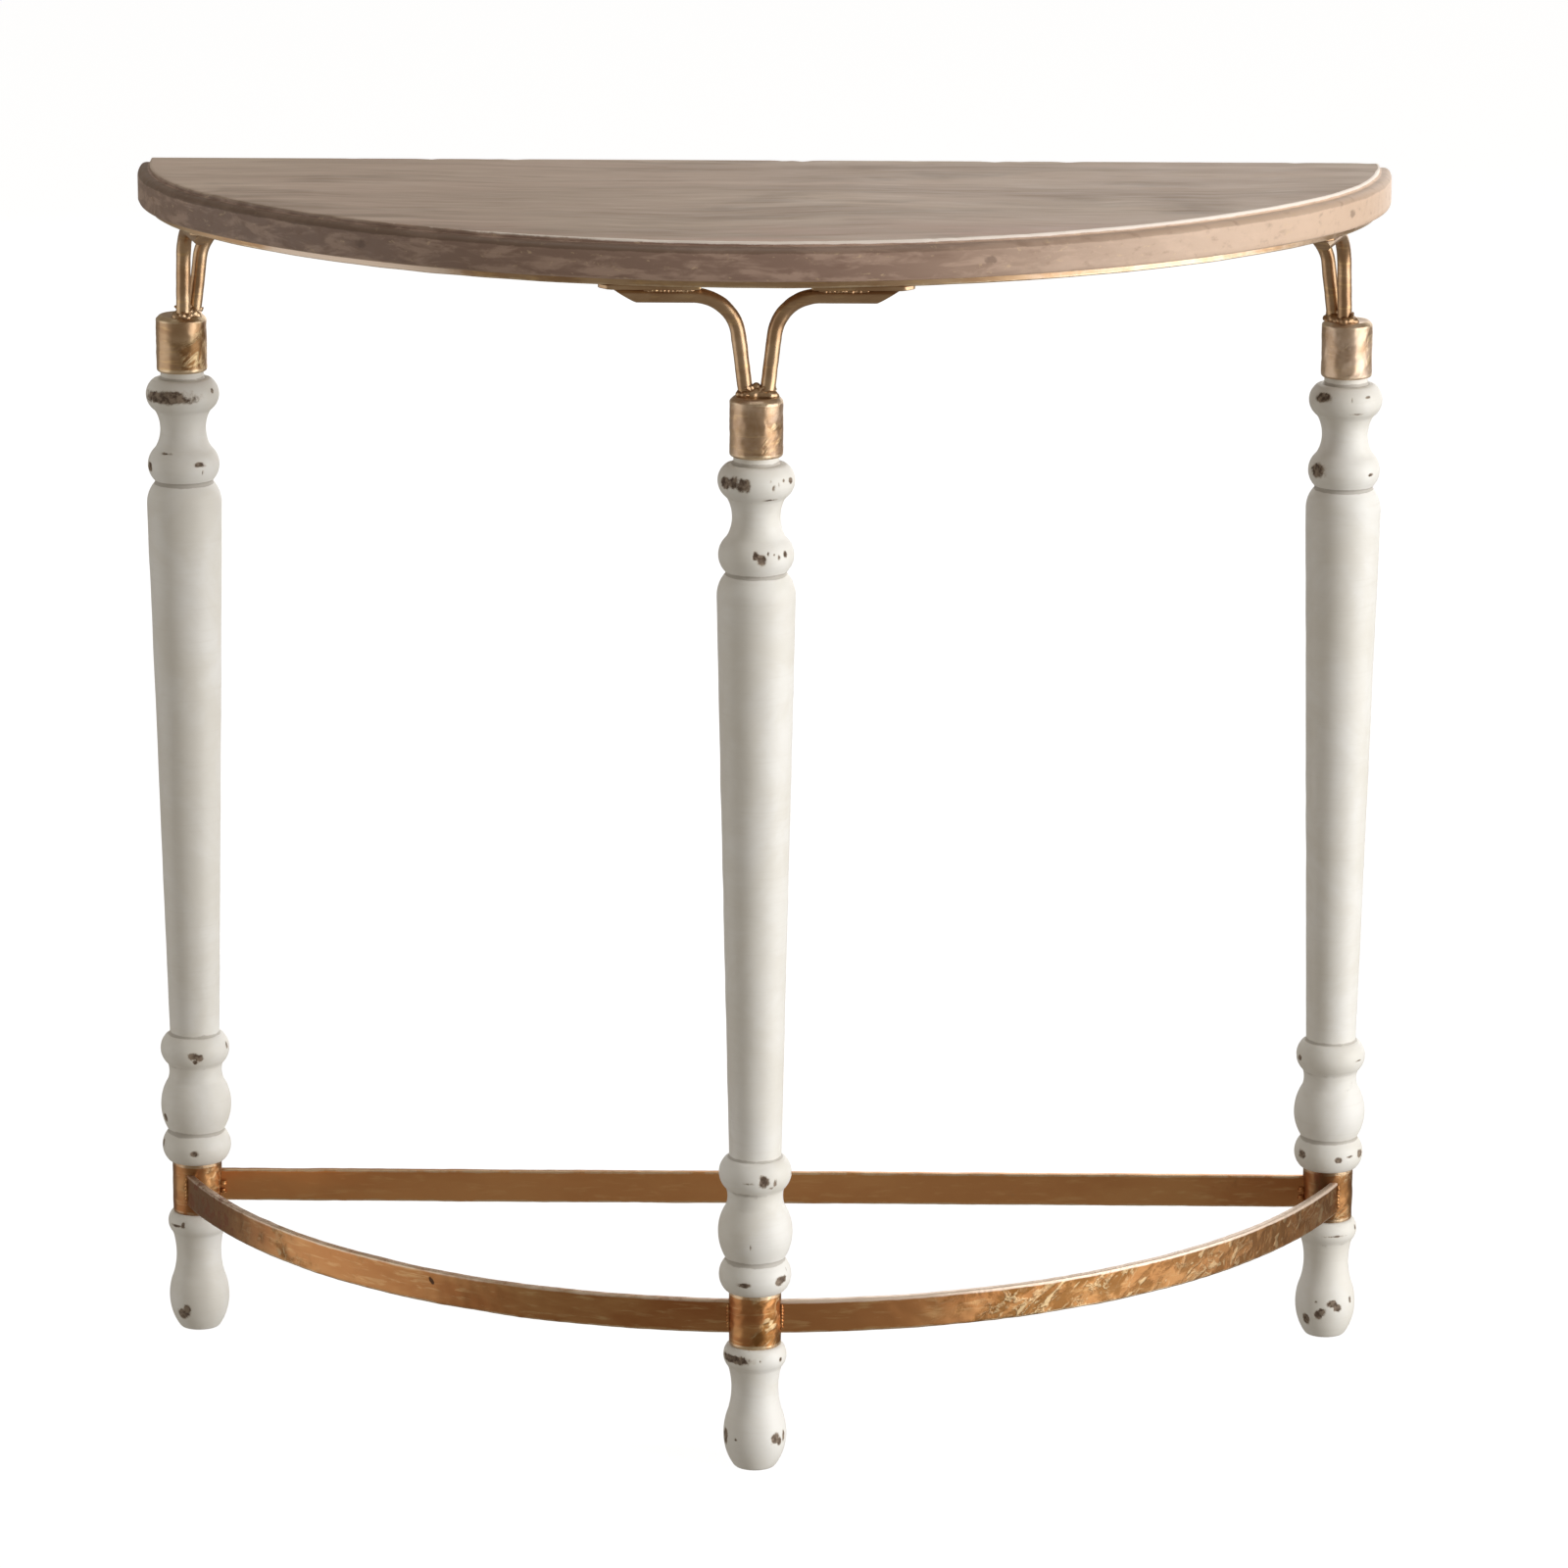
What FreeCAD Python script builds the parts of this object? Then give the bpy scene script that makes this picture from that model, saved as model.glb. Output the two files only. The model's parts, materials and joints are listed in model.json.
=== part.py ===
import FreeCAD, Part
import math
import os
import re

import Sketcher
from FreeCAD import Placement, Rotation, Vector

# Half-moon entryway table in millimetres. The floor is Z = 0, the straight back is at +Y and the curved front
# at -Y. The origin lies on the floor under the middle of the top.

# Driving sizes: millimetres, and degrees for the angles.
SIZES = {
    # Wooden top: a front arc runs into a tighter arc at each end. A raised field lies inside a round edge.
    "top_half_width": 412,
    "top_depth": 325,
    "top_end_radius": 240,
    "top_thickness": 24,
    "top_edge_round": 5,
    "top_field_inset": 8,
    "top_field_rise": 3,
    # Flat steel rim screwed under the top.
    "rim_inset": 7.5,
    "rim_width": 38,
    "rim_thickness": 5,
    "screw_radius": 2,
    "screw_head_radius": 4,
    "screw_head_height": 2.4,
    "screw_bite": 14,
    "screw_clearance": 0.1,
    "back_screw_offset": 150,
    # Brackets: two bent rods on every cap, each with a strap between it and the rim.
    "strap_start": 34,
    "strap_length": 64,
    "strap_width": 20,
    "strap_thickness": 3,
    "strap_corner": 6,
    "rod_radius": 4.75,
    "rod_bend_radius": 28,
    "rod_lean_angle": 7,
    "rod_arm_length": 90,
    "rod_tip_length": 16,
    "centre_rod_gap": 3.3,
    "side_rod_gap": 0.85,
    "bracket_rise": 68,
    "weld_setback": 2.1,
    "weld_top_radius": 5,
    "weld_height": 7,
    # Steel cups on the legs and steel tubes round the joints of legs and feet.
    "tenon_radius": 14.3,
    "tenon_clearance": 0.2,
    "tenon_gap": 0.5,
    "cap_wall": 2.2,
    "cap_bore_depth": 29.5,
    "cap_crown": 8,
    "cap_top_bevel": 2.5,
    "cap_lip_bevel": 1,
    "collar_wall": 2.2,
    "collar_height": 36,
    "stud_radius": 4,
    "stud_length": 50,
    "stud_clearance": 0.1,
    # Turned leg, from the collar up.
    "leg_root_radius": 18.6,
    "base_bead_height": 21.3,
    "base_bead_swell": 4.6,
    "vase_height": 35.7,
    "vase_swell": 5.2,
    "ankle_height": 11.5,
    "ankle_depth": 0.9,
    "ankle_bead_height": 20.5,
    "ankle_bead_swell": 4.6,
    "column_foot_radius": 16.7,
    "column_top_radius": 24.8,
    "column_height": 366.5,
    "shoulder_height": 14.5,
    "lower_ring_height": 22.5,
    "lower_ring_swell": 5.1,
    "throat_height": 25.5,
    "throat_depth": 3.5,
    "upper_ring_height": 21,
    "upper_ring_swell": 5.6,
    "neck_height": 5,
    # Turned foot, from the floor up.
    "foot_base_radius": 13.2,
    "bulb_radius": 20.3,
    "bulb_lower_height": 22,
    "bulb_upper_height": 15.5,
    "foot_root_radius": 17.3,
    "foot_cove_height": 30,
    "foot_cove_depth": 2.2,
    "foot_bead_height": 15,
    "foot_bead_swell": 3,
    # Flat-bar stretchers on edge.
    "bar_height": 22,
    "bar_thickness": 5,
    "stretcher_offset": 8.6,
}

# Places worked out from the sizes. The legs stand under the middle of the rim.
EDGE_TO_LEG = "(rim_inset + rim_width / 2)"
BACK_Y = "(top_depth / 2)"
END_X = "(top_half_width - top_end_radius)"
FRONT_RADIUS = f"(({END_X}^2 + top_depth^2 - top_end_radius^2) / (2 * (top_depth - top_end_radius)))"
FRONT_CENTRE_Y = f"({FRONT_RADIUS} - top_depth / 2)"
END_LINE_RADIUS = f"(top_end_radius - {EDGE_TO_LEG})"
SIDE_X = f"({END_X} + sqrt({END_LINE_RADIUS}^2 - {EDGE_TO_LEG}^2))"
SIDE_Y = f"({BACK_Y} - {EDGE_TO_LEG})"
CENTRE_Y = f"({EDGE_TO_LEG} - top_depth / 2)"

# A strap that runs forward from a side leg is a chord of the rim's middle line.
STRAP_MIDDLE = "(strap_start + strap_length / 2)"
SWING = f"(asin({EDGE_TO_LEG} / {END_LINE_RADIUS}) + asin({STRAP_MIDDLE} / (2 * {END_LINE_RADIUS})))"

# The feet of a leg's two rods stand a gap apart: opposite each other in the centre, at an angle on the sides.
CENTRE_FOOT = "(rod_radius + centre_rod_gap / 2)"
SIDE_FOOT = f"((rod_radius + side_rod_gap / 2) / sin((90 deg - {SWING}) / 2))"

# Fits: both the cap and the collar slip over tenons of one radius.
BORE_RADIUS = "(tenon_radius + tenon_clearance)"
CAP_RADIUS = f"({BORE_RADIUS} + cap_wall)"
COLLAR_RADIUS = f"({BORE_RADIUS} + collar_wall)"

# Heights, stacked from the floor.
FOOT_TOP = "(bulb_lower_height + bulb_upper_height + foot_cove_height + foot_bead_height)"
COLLAR_MIDDLE = f"({FOOT_TOP} + collar_height / 2)"
COLLAR_TOP = f"({FOOT_TOP} + collar_height)"
CAP_BOTTOM = (
    f"({COLLAR_TOP} + base_bead_height + vase_height + ankle_height + ankle_bead_height + column_height"
    " + shoulder_height + lower_ring_height + throat_height + upper_ring_height + neck_height)"
)
CAP_HEIGHT = "(cap_bore_depth + cap_crown)"
CAP_TOP = f"({CAP_BOTTOM} + {CAP_HEIGHT})"
STRAP_BOTTOM = f"({CAP_TOP} + bracket_rise)"
RIM_BOTTOM = f"({STRAP_BOTTOM} + strap_thickness)"
TOP_BOTTOM = f"({RIM_BOTTOM} + rim_thickness)"

LEG_PLACES = {
    "left": (f"-{SIDE_X}", SIDE_Y),
    "centre": ("0", CENTRE_Y),
    "right": (SIDE_X, SIDE_Y),
}

# Each bracket arm: its leg, its name, its direction about Z and its foot's distance from the leg's axis.
ARMS = [
    ("left", "inner", "0", SIDE_FOOT),
    ("left", "front", f"(270 deg + {SWING})", SIDE_FOOT),
    ("centre", "left", "180", CENTRE_FOOT),
    ("centre", "right", "0", CENTRE_FOOT),
    ("right", "front", f"(270 deg - {SWING})", SIDE_FOOT),
    ("right", "inner", "180", SIDE_FOOT),
]

# Screw places on the rim: some share the front arc evenly between its tangent points, two are at the back.
ARC_SCREW_COUNT = 5
SCREW_RING = f"({FRONT_RADIUS} - {EDGE_TO_LEG})"
SCREW_PITCH = f"(2 * atan2({END_X}; {FRONT_CENTRE_Y} - {BACK_Y}) / {ARC_SCREW_COUNT})"
ARC_SCREWS = []
for screw in range(ARC_SCREW_COUNT):
    screw_angle = f"({screw} - {ARC_SCREW_COUNT - 1} / 2) * {SCREW_PITCH}"
    screw_x = f"{SCREW_RING} * sin({screw_angle})"
    screw_y = f"{FRONT_CENTRE_Y} - {SCREW_RING} * cos({screw_angle})"
    ARC_SCREWS.append((screw_x, screw_y))
BACK_SCREWS = [("-back_screw_offset", SIDE_Y), ("back_screw_offset", SIDE_Y)]

doc = FreeCAD.newDocument("HalfMoonTable")
sheet = doc.addObject("Spreadsheet::Sheet", "Sizes")
pieces = []


def fill_sheet():
    """Put every driving size in the spreadsheet under its own alias."""
    for row, (name, number) in enumerate(SIZES.items(), start=1):
        sheet.set(f"A{row}", name)
        sheet.set(f"B{row}", str(number))
        sheet.setAlias(f"B{row}", name)
    doc.recompute()


def bound(text):
    """Name the sheet before each size: only the names of sizes have underscores."""
    return re.sub(r"[a-z]+(?:_[a-z]+)+", lambda match: "Sizes." + match.group(), text)


def value(text):
    """Today's number for an expression."""
    result = sheet.evalExpression(bound(text))
    return float(getattr(result, "Value", result))


def place(item, x, y, z, turn="0", axis=Vector(0, 0, 1)):
    """Bind a piece's place, and its turn about an axis, to the sizes."""
    item.Placement = Placement(Vector(value(x), value(y), value(z)), Rotation(axis, value(turn)))
    for name, place_text in (("x", x), ("y", y), ("z", z)):
        item.setExpression("Placement.Base." + name, bound(place_text))
    if "_" in turn:
        item.setExpression("Placement.Rotation.Angle", bound(turn))


def new_body(label):
    body = doc.addObject("PartDesign::Body", label)
    body.Label = label
    pieces.append(body)
    return body


def new_sketch(body, name, plane, lift=None):
    """An empty sketch on one of the body's origin planes, lifted along Z where a height is given."""
    sketch = body.newObject("Sketcher::SketchObject", name)
    origin_plane = next(item for item in body.Origin.OriginFeatures if item.Role == plane)
    sketch.AttachmentSupport = [(origin_plane, "")]
    sketch.MapMode = "FlatFace"
    if lift is not None:
        sketch.AttachmentOffset = Placement(Vector(0, 0, value(lift)), Rotation())
        sketch.setExpression("AttachmentOffset.Base.z", bound(lift))
    return sketch


def fix(sketch, kind, *references, size):
    """Add a dimension to a sketch and bind it to the sizes."""
    number = value(size)
    if kind == "Angle":
        number = math.radians(number)
    index = sketch.addConstraint(Sketcher.Constraint(kind, *references, number))
    sketch.setExpression(f"Constraints[{index}]", bound(size))


def join(sketch, first, first_end, second, second_end):
    sketch.addConstraint(Sketcher.Constraint("Coincident", first, first_end, second, second_end))


def pin(sketch, edge, end, x, y):
    """Dimension one point of a sketch from its origin."""
    for kind, size, axis in (("DistanceX", x, -2), ("DistanceY", y, -1)):
        number = value(size)
        if size == "0":
            sketch.addConstraint(Sketcher.Constraint("PointOnObject", edge, end, axis))
        elif number < 0:
            fix(sketch, kind, edge, end, -1, 1, size=f"-({size})")
        else:
            fix(sketch, kind, -1, 1, edge, end, size=size)


def point(x, y):
    return Vector(value(x), value(y), 0)


def arc(centre, start, end):
    """The arc that runs anticlockwise about a centre from one point to another."""
    circle = Part.Circle(centre, Vector(0, 0, 1), (start - centre).Length)
    angles = [math.atan2(end_point.y - centre.y, end_point.x - centre.x) for end_point in (start, end)]
    return Part.ArcOfCircle(circle, angles[0], angles[1])


def draw_polygon(sketch, corners):
    """A closed outline of straight lines through corners that are given as pairs of expressions."""
    points = [point(x, y) for x, y in corners]
    edges = [
        sketch.addGeometry(Part.LineSegment(points[index], points[(index + 1) % len(points)]))
        for index in range(len(points))
    ]
    for index, (x, y) in enumerate(corners):
        join(sketch, edges[index - 1], 2, edges[index], 1)
        pin(sketch, edges[index], 1, x, y)


def draw_circles(sketch, radius, centres):
    for x, y in centres:
        edge = sketch.addGeometry(Part.Circle(point(x, y), Vector(0, 0, 1), value(radius)))
        fix(sketch, "Radius", edge, size=radius)
        pin(sketch, edge, 3, x, y)


def draw_rectangle(sketch, half_width, low, high):
    """A rectangle across the Y axis, from a low to a high line."""
    left = f"-{half_width}"
    draw_polygon(sketch, [(left, low), (half_width, low), (half_width, high), (left, high)])


def draw_half_moon(sketch, inset):
    """The outline of the top, drawn in by an inset all round but for the straight back.

    The front arc and the two end arcs share tangents, and an inset only shortens their radii.
    """
    front_centre = point("0", FRONT_CENTRE_Y)
    right_centre = point(END_X, BACK_Y)
    left_centre = Vector(-right_centre.x, right_centre.y, 0)
    end_radius = value(f"top_end_radius - {inset}")
    toward_end = (right_centre - front_centre).normalize()
    right_joint = right_centre + toward_end * end_radius
    left_joint = Vector(-right_joint.x, right_joint.y, 0)
    right_corner = right_centre + Vector(end_radius, 0, 0)
    left_corner = left_centre - Vector(end_radius, 0, 0)

    front = sketch.addGeometry(arc(front_centre, left_joint, right_joint))
    right = sketch.addGeometry(arc(right_centre, right_joint, right_corner))
    left = sketch.addGeometry(arc(left_centre, left_corner, left_joint))
    line = sketch.addGeometry(Part.LineSegment(right_corner, left_corner))

    sketch.addConstraint(Sketcher.Constraint("Tangent", front, 2, right, 1))
    sketch.addConstraint(Sketcher.Constraint("Tangent", left, 2, front, 1))
    join(sketch, right, 2, line, 1)
    join(sketch, line, 2, left, 1)
    sketch.addConstraint(Sketcher.Constraint("Horizontal", line))
    pin(sketch, right, 3, END_X, BACK_Y)
    pin(sketch, left, 3, f"-{END_X}", BACK_Y)
    fix(sketch, "DistanceY", -1, 1, front, 3, size=FRONT_CENTRE_Y)
    fix(sketch, "Radius", right, size=f"top_end_radius - {inset}")
    fix(sketch, "Radius", left, size=f"top_end_radius - {inset}")
    fix(sketch, "DistanceY", -1, 1, line, 1, size=BACK_Y)


def pad(body, sketch, length, symmetric=False):
    feature = body.newObject("PartDesign::Pad", "Pad")
    feature.Profile = sketch
    feature.setExpression("Length", bound(length))
    if symmetric:
        feature.SideType = "Symmetric"
    doc.recompute()
    return feature


def pocket(body, sketch, length=None, upward=False):
    """Cut a sketch out of a body, through everything on both sides or upward by a length."""
    before = body.Shape.Volume
    feature = body.newObject("PartDesign::Pocket", "Pocket")
    feature.Profile = sketch
    feature.Reversed = upward
    if length is None:
        feature.Type = "ThroughAll"
        feature.SideType = "Symmetric"
    else:
        feature.setExpression("Length", bound(length))
    doc.recompute()
    if body.Shape.Volume >= before:
        raise RuntimeError(f"{body.Label}: a pocket cut nothing")


def revolve(body, sketch):
    feature = body.newObject("PartDesign::Revolution", "Turning")
    feature.Profile = sketch
    feature.ReferenceAxis = (sketch, ["V_Axis"])
    feature.Angle = 360
    doc.recompute()


class TurnedProfile:
    """Draws the half section of a turned piece, step by step from a point on its axis."""

    def __init__(self, sketch, start):
        self.sketch = sketch
        self.start = Vector(0, value(start), 0)
        self.here = self.start
        self.radius = "0"
        self.start_text = start
        self.first = None
        self.last = None

    def _add(self, shape, begin, end, target, radius, rise):
        sketch = self.sketch
        edge = sketch.addGeometry(shape)
        if self.last is None:
            self.first = (edge, begin)
            pin(sketch, edge, begin, "0", self.start_text)
        else:
            join(sketch, *self.last, edge, begin)
        if radius == "0":
            sketch.addConstraint(Sketcher.Constraint("PointOnObject", edge, end, -2))
        else:
            fix(sketch, "DistanceX", -1, 1, edge, end, size=radius)
        if rise == "0":
            sketch.addConstraint(Sketcher.Constraint("Horizontal", edge))
        elif value(rise) < 0:
            fix(sketch, "DistanceY", edge, end, edge, begin, size=f"-({rise})")
        else:
            fix(sketch, "DistanceY", edge, begin, edge, end, size=rise)
        self.last = (edge, end)
        self.here = target
        self.radius = radius
        return edge

    def line(self, radius, rise="0"):
        """A straight stretch to a new radius, higher by a rise."""
        target = Vector(value(radius), self.here.y + value(rise), 0)
        self._add(Part.LineSegment(self.here, target), 1, 2, target, radius, rise)

    def bead(self, height, swell):
        """A round bead that swells out of the present radius and comes back to it."""
        target = Vector(self.here.x, self.here.y + value(height), 0)
        arc_radius = f"(({height} / 2)^2 + {swell}^2) / (2 * {swell})"
        centre = Vector(self.here.x + value(swell) - value(arc_radius), (self.here.y + target.y) / 2, 0)
        edge = self._add(arc(centre, self.here, target), 1, 2, target, self.radius, height)
        fix(self.sketch, "Radius", edge, size=arc_radius)

    def cove(self, height, depth):
        """A hollow that dips below the present radius and comes back to it."""
        target = Vector(self.here.x, self.here.y + value(height), 0)
        arc_radius = f"(({height} / 2)^2 + {depth}^2) / (2 * {depth})"
        centre = Vector(self.here.x - value(depth) + value(arc_radius), (self.here.y + target.y) / 2, 0)
        edge = self._add(arc(centre, target, self.here), 2, 1, target, self.radius, height)
        fix(self.sketch, "Radius", edge, size=arc_radius)

    def shoulder(self, radius, height):
        """Half a bead: a round stretch that stands upright at whichever end is wider."""
        target = Vector(value(radius), self.here.y + value(height), 0)
        widest = target if target.x > self.here.x else self.here
        step = f"abs({radius} - {self.radius})"
        arc_radius = f"({height}^2 + {step}^2) / (2 * {step})"
        centre = Vector(widest.x - value(arc_radius), widest.y, 0)
        edge = self._add(arc(centre, self.here, target), 1, 2, target, radius, height)
        fix(self.sketch, "Radius", edge, size=arc_radius)

    def close(self):
        """The line down the axis, back to the first point."""
        edge = self.sketch.addGeometry(Part.LineSegment(self.here, self.start))
        join(self.sketch, *self.last, edge, 1)
        join(self.sketch, edge, 2, *self.first)


def make_top():
    """The wooden panel: a slab with a rounded front edge, a raised field on it and pilot holes below."""
    body = new_body("table_top")
    slab_height = "(top_thickness - top_field_rise)"
    slab_sketch = new_sketch(body, "SlabOutline", "XY_Plane")
    draw_half_moon(slab_sketch, "0")
    slab = pad(body, slab_sketch, slab_height)

    rounding = body.newObject("PartDesign::Fillet", "EdgeRound")
    upper = value(slab_height)
    front_edges = [
        f"Edge{index}"
        for index, edge in enumerate(slab.Shape.Edges, start=1)
        if edge.Curve.TypeId == "Part::GeomCircle" and abs(edge.CenterOfMass.z - upper) < 0.001
    ]
    rounding.Base = (slab, front_edges)
    rounding.setExpression("Radius", bound("top_edge_round"))
    doc.recompute()

    field_sketch = new_sketch(body, "FieldOutline", "XY_Plane", lift=slab_height)
    draw_half_moon(field_sketch, "top_field_inset")
    pad(body, field_sketch, "top_field_rise")

    hole_sketch = new_sketch(body, "PilotHoles", "XY_Plane")
    draw_circles(hole_sketch, "screw_radius + screw_clearance", ARC_SCREWS + BACK_SCREWS)
    pocket(body, hole_sketch, "screw_bite", upward=True)
    place(body, "0", "0", TOP_BOTTOM)


def make_rim_blank(label, screws):
    """A plate of the rim's outline with its screw holes, before its back or its front is cut away."""
    body = new_body(label)
    outline = new_sketch(body, "RimOutline", "XY_Plane")
    draw_half_moon(outline, "rim_inset")
    pad(body, outline, "rim_thickness")
    holes = new_sketch(body, "ScrewHoles", "XY_Plane")
    draw_circles(holes, "screw_radius + screw_clearance", screws)
    pocket(body, holes)
    place(body, "0", "0", RIM_BOTTOM)
    return body


def make_rim():
    """The flat rim under the top: a bent bar along the curve meets a straight bar at the back in a seam."""
    seam = f"({BACK_Y} - rim_inset - rim_width)"
    curve = make_rim_blank("top_rim_arc", ARC_SCREWS)
    inside = new_sketch(curve, "InnerOutline", "XY_Plane")
    draw_half_moon(inside, "(rim_inset + rim_width)")
    pocket(curve, inside)
    behind = new_sketch(curve, "BehindSeam", "XY_Plane")
    draw_rectangle(behind, "top_half_width", seam, BACK_Y)
    pocket(curve, behind)

    bar = make_rim_blank("top_rim_back_bar", BACK_SCREWS)
    in_front = new_sketch(bar, "InFrontOfSeam", "XY_Plane")
    draw_rectangle(in_front, "top_half_width", "(-top_depth / 2)", seam)
    pocket(bar, in_front)
    back_inset = new_sketch(bar, "BackInset", "XY_Plane")
    draw_rectangle(back_inset, "top_half_width", f"({seam} + rim_width)", BACK_Y)
    pocket(bar, back_inset)


def make_screws():
    """Pan-head wood screws, one group: the heads lie under the rim and the shanks bite into the top."""
    screws = []
    for index, (x, y) in enumerate(ARC_SCREWS + BACK_SCREWS, start=1):
        head = doc.addObject("Part::Cylinder", f"ScrewHead{index}")
        head.setExpression("Radius", bound("screw_head_radius"))
        head.setExpression("Height", bound("screw_head_height"))
        place(head, x, y, f"{RIM_BOTTOM} - screw_head_height")
        shank = doc.addObject("Part::Cylinder", f"ScrewShank{index}")
        shank.setExpression("Radius", bound("screw_radius"))
        shank.setExpression("Height", bound("rim_thickness + screw_bite"))
        place(shank, x, y, RIM_BOTTOM)
        screw = doc.addObject("Part::Fuse", f"Screw{index}")
        screw.Base = head
        screw.Tool = shank
        screws.append(screw)
    group = doc.addObject("Part::Compound", "rim_screws")
    group.Links = screws
    group.Label = "rim_screws"
    pieces.append(group)


def make_strap(leg, arm, direction):
    """A flat plate with clipped outer corners, between a rod and the rim."""
    body = new_body(f"strap_{leg}_{arm}")
    outline = new_sketch(body, "StrapOutline", "XY_Plane")
    far_end = "(strap_start + strap_length)"
    side = "(strap_width / 2)"
    draw_polygon(outline, [
        ("strap_start", f"-{side}"),
        (f"{far_end} - strap_corner", f"-{side}"),
        (far_end, f"strap_corner - {side}"),
        (far_end, f"{side} - strap_corner"),
        (f"{far_end} - strap_corner", side),
        ("strap_start", side),
    ])
    pad(body, outline, "strap_thickness")
    x, y = LEG_PLACES[leg]
    place(body, x, y, STRAP_BOTTOM, direction)


def make_rod(leg, arm, direction, offset):
    """A round rod that leans out from the cap, bends over and runs under its strap to a bevelled tip."""
    body = new_body(f"bracket_rod_{leg}_{arm}")
    section = new_sketch(body, "RodSection", "XY_Plane")
    draw_circles(section, "rod_radius", [(offset, "0")])

    lean = math.radians(value("rod_lean_angle"))
    bend = value("rod_bend_radius")
    level = value("bracket_rise - rod_radius")
    foot = point(offset, "0")
    bend_height = level - bend * (1 - math.sin(lean))
    bend_start = foot + Vector(bend_height * math.tan(lean), bend_height, 0)
    centre = bend_start + Vector(bend * math.cos(lean), -bend * math.sin(lean), 0)
    bend_end = centre + Vector(0, bend, 0)

    path = new_sketch(body, "RodPath", "XZ_Plane")
    riser = path.addGeometry(Part.LineSegment(foot, bend_start))
    turn = path.addGeometry(arc(centre, bend_end, bend_start))
    run = path.addGeometry(Part.LineSegment(bend_end, Vector(value("rod_arm_length"), level, 0)))
    pin(path, riser, 1, offset, "0")
    fix(path, "Angle", riser, size="90 - rod_lean_angle")
    path.addConstraint(Sketcher.Constraint("Tangent", riser, 2, turn, 2))
    path.addConstraint(Sketcher.Constraint("Tangent", turn, 1, run, 1))
    path.addConstraint(Sketcher.Constraint("Horizontal", run))
    fix(path, "Radius", turn, size="rod_bend_radius")
    pin(path, run, 2, "rod_arm_length", "bracket_rise - rod_radius")

    pipe = body.newObject("PartDesign::AdditivePipe", "BentRod")
    pipe.Profile = section
    pipe.Spine = (path, ["Edge1", "Edge2", "Edge3"])
    doc.recompute()

    bevel = new_sketch(body, "TipBevel", "XZ_Plane")
    beyond = "(rod_arm_length + rod_radius)"
    below = "(bracket_rise - 3 * rod_radius)"
    draw_polygon(bevel, [
        ("rod_arm_length", "bracket_rise"),
        ("rod_arm_length - 1.5 * rod_tip_length", below),
        (beyond, below),
        (beyond, "bracket_rise"),
    ])
    pocket(body, bevel)
    x, y = LEG_PLACES[leg]
    place(body, x, y, CAP_TOP, direction)
    return body


def make_weld(leg, rods):
    """The lump of weld round the feet of a leg's two rods, on the flat of the cap."""
    x, y = LEG_PLACES[leg]
    lump = doc.addObject("Part::Cone", f"WeldLump_{leg}")
    lump.setExpression("Radius1", bound(f"{CAP_RADIUS} - cap_top_bevel - weld_setback"))
    lump.setExpression("Radius2", bound("weld_top_radius"))
    lump.setExpression("Height", bound("weld_height"))
    place(lump, x, y, CAP_TOP)
    for step, rod in enumerate(rods, start=1):
        cut = doc.addObject("Part::Cut", f"WeldSeat_{leg}_{step}")
        cut.Base = lump
        cut.Tool = rod
        lump = cut
    lump.Label = f"bracket_weld_{leg}"
    pieces.append(lump)


def make_cap(leg):
    """A steel cup with a bevelled crown, over the tenon at the top of a leg."""
    body = new_body(f"leg_cap_{leg}")
    section = new_sketch(body, "CupSection", "XZ_Plane")
    draw_polygon(section, [
        (BORE_RADIUS, "0"),
        (f"{CAP_RADIUS} - cap_lip_bevel", "0"),
        (CAP_RADIUS, "cap_lip_bevel"),
        (CAP_RADIUS, f"{CAP_HEIGHT} - cap_top_bevel"),
        (f"{CAP_RADIUS} - cap_top_bevel", CAP_HEIGHT),
        ("0", CAP_HEIGHT),
        ("0", "cap_bore_depth"),
        (BORE_RADIUS, "cap_bore_depth"),
    ])
    revolve(body, section)
    x, y = LEG_PLACES[leg]
    place(body, x, y, CAP_BOTTOM)


def make_collar(leg):
    """A short steel tube that the leg's tenon and the foot's tenon meet in."""
    body = new_body(f"collar_{leg}")
    section = new_sketch(body, "TubeSection", "XZ_Plane")
    draw_polygon(section, [
        (BORE_RADIUS, "0"),
        (COLLAR_RADIUS, "0"),
        (COLLAR_RADIUS, "collar_height"),
        (BORE_RADIUS, "collar_height"),
    ])
    revolve(body, section)
    x, y = LEG_PLACES[leg]
    place(body, x, y, FOOT_TOP)


def make_leg(leg):
    """A turned leg that sits on the collar, with a tenon into the collar and another into the cap."""
    body = new_body(f"leg_{leg}")
    sketch = new_sketch(body, "LegProfile", "XZ_Plane")
    profile = TurnedProfile(sketch, "(stud_length - collar_height) / 2")
    profile.line("stud_radius + stud_clearance")
    profile.line("stud_radius + stud_clearance", "(tenon_gap - stud_length) / 2")
    profile.line("tenon_radius")
    profile.line("tenon_radius", "(collar_height - tenon_gap) / 2")
    profile.line("leg_root_radius")
    profile.bead("base_bead_height", "base_bead_swell")
    profile.bead("vase_height", "vase_swell")
    profile.cove("ankle_height", "ankle_depth")
    profile.bead("ankle_bead_height", "ankle_bead_swell")
    profile.line("column_foot_radius")
    profile.line("column_top_radius", "column_height")
    profile.shoulder("leg_root_radius", "shoulder_height")
    profile.bead("lower_ring_height", "lower_ring_swell")
    profile.cove("throat_height", "throat_depth")
    profile.bead("upper_ring_height", "upper_ring_swell")
    profile.line("tenon_radius")
    profile.line("tenon_radius", "neck_height + cap_bore_depth")
    profile.line("0")
    profile.close()
    revolve(body, sketch)
    x, y = LEG_PLACES[leg]
    place(body, x, y, COLLAR_TOP)


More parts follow.
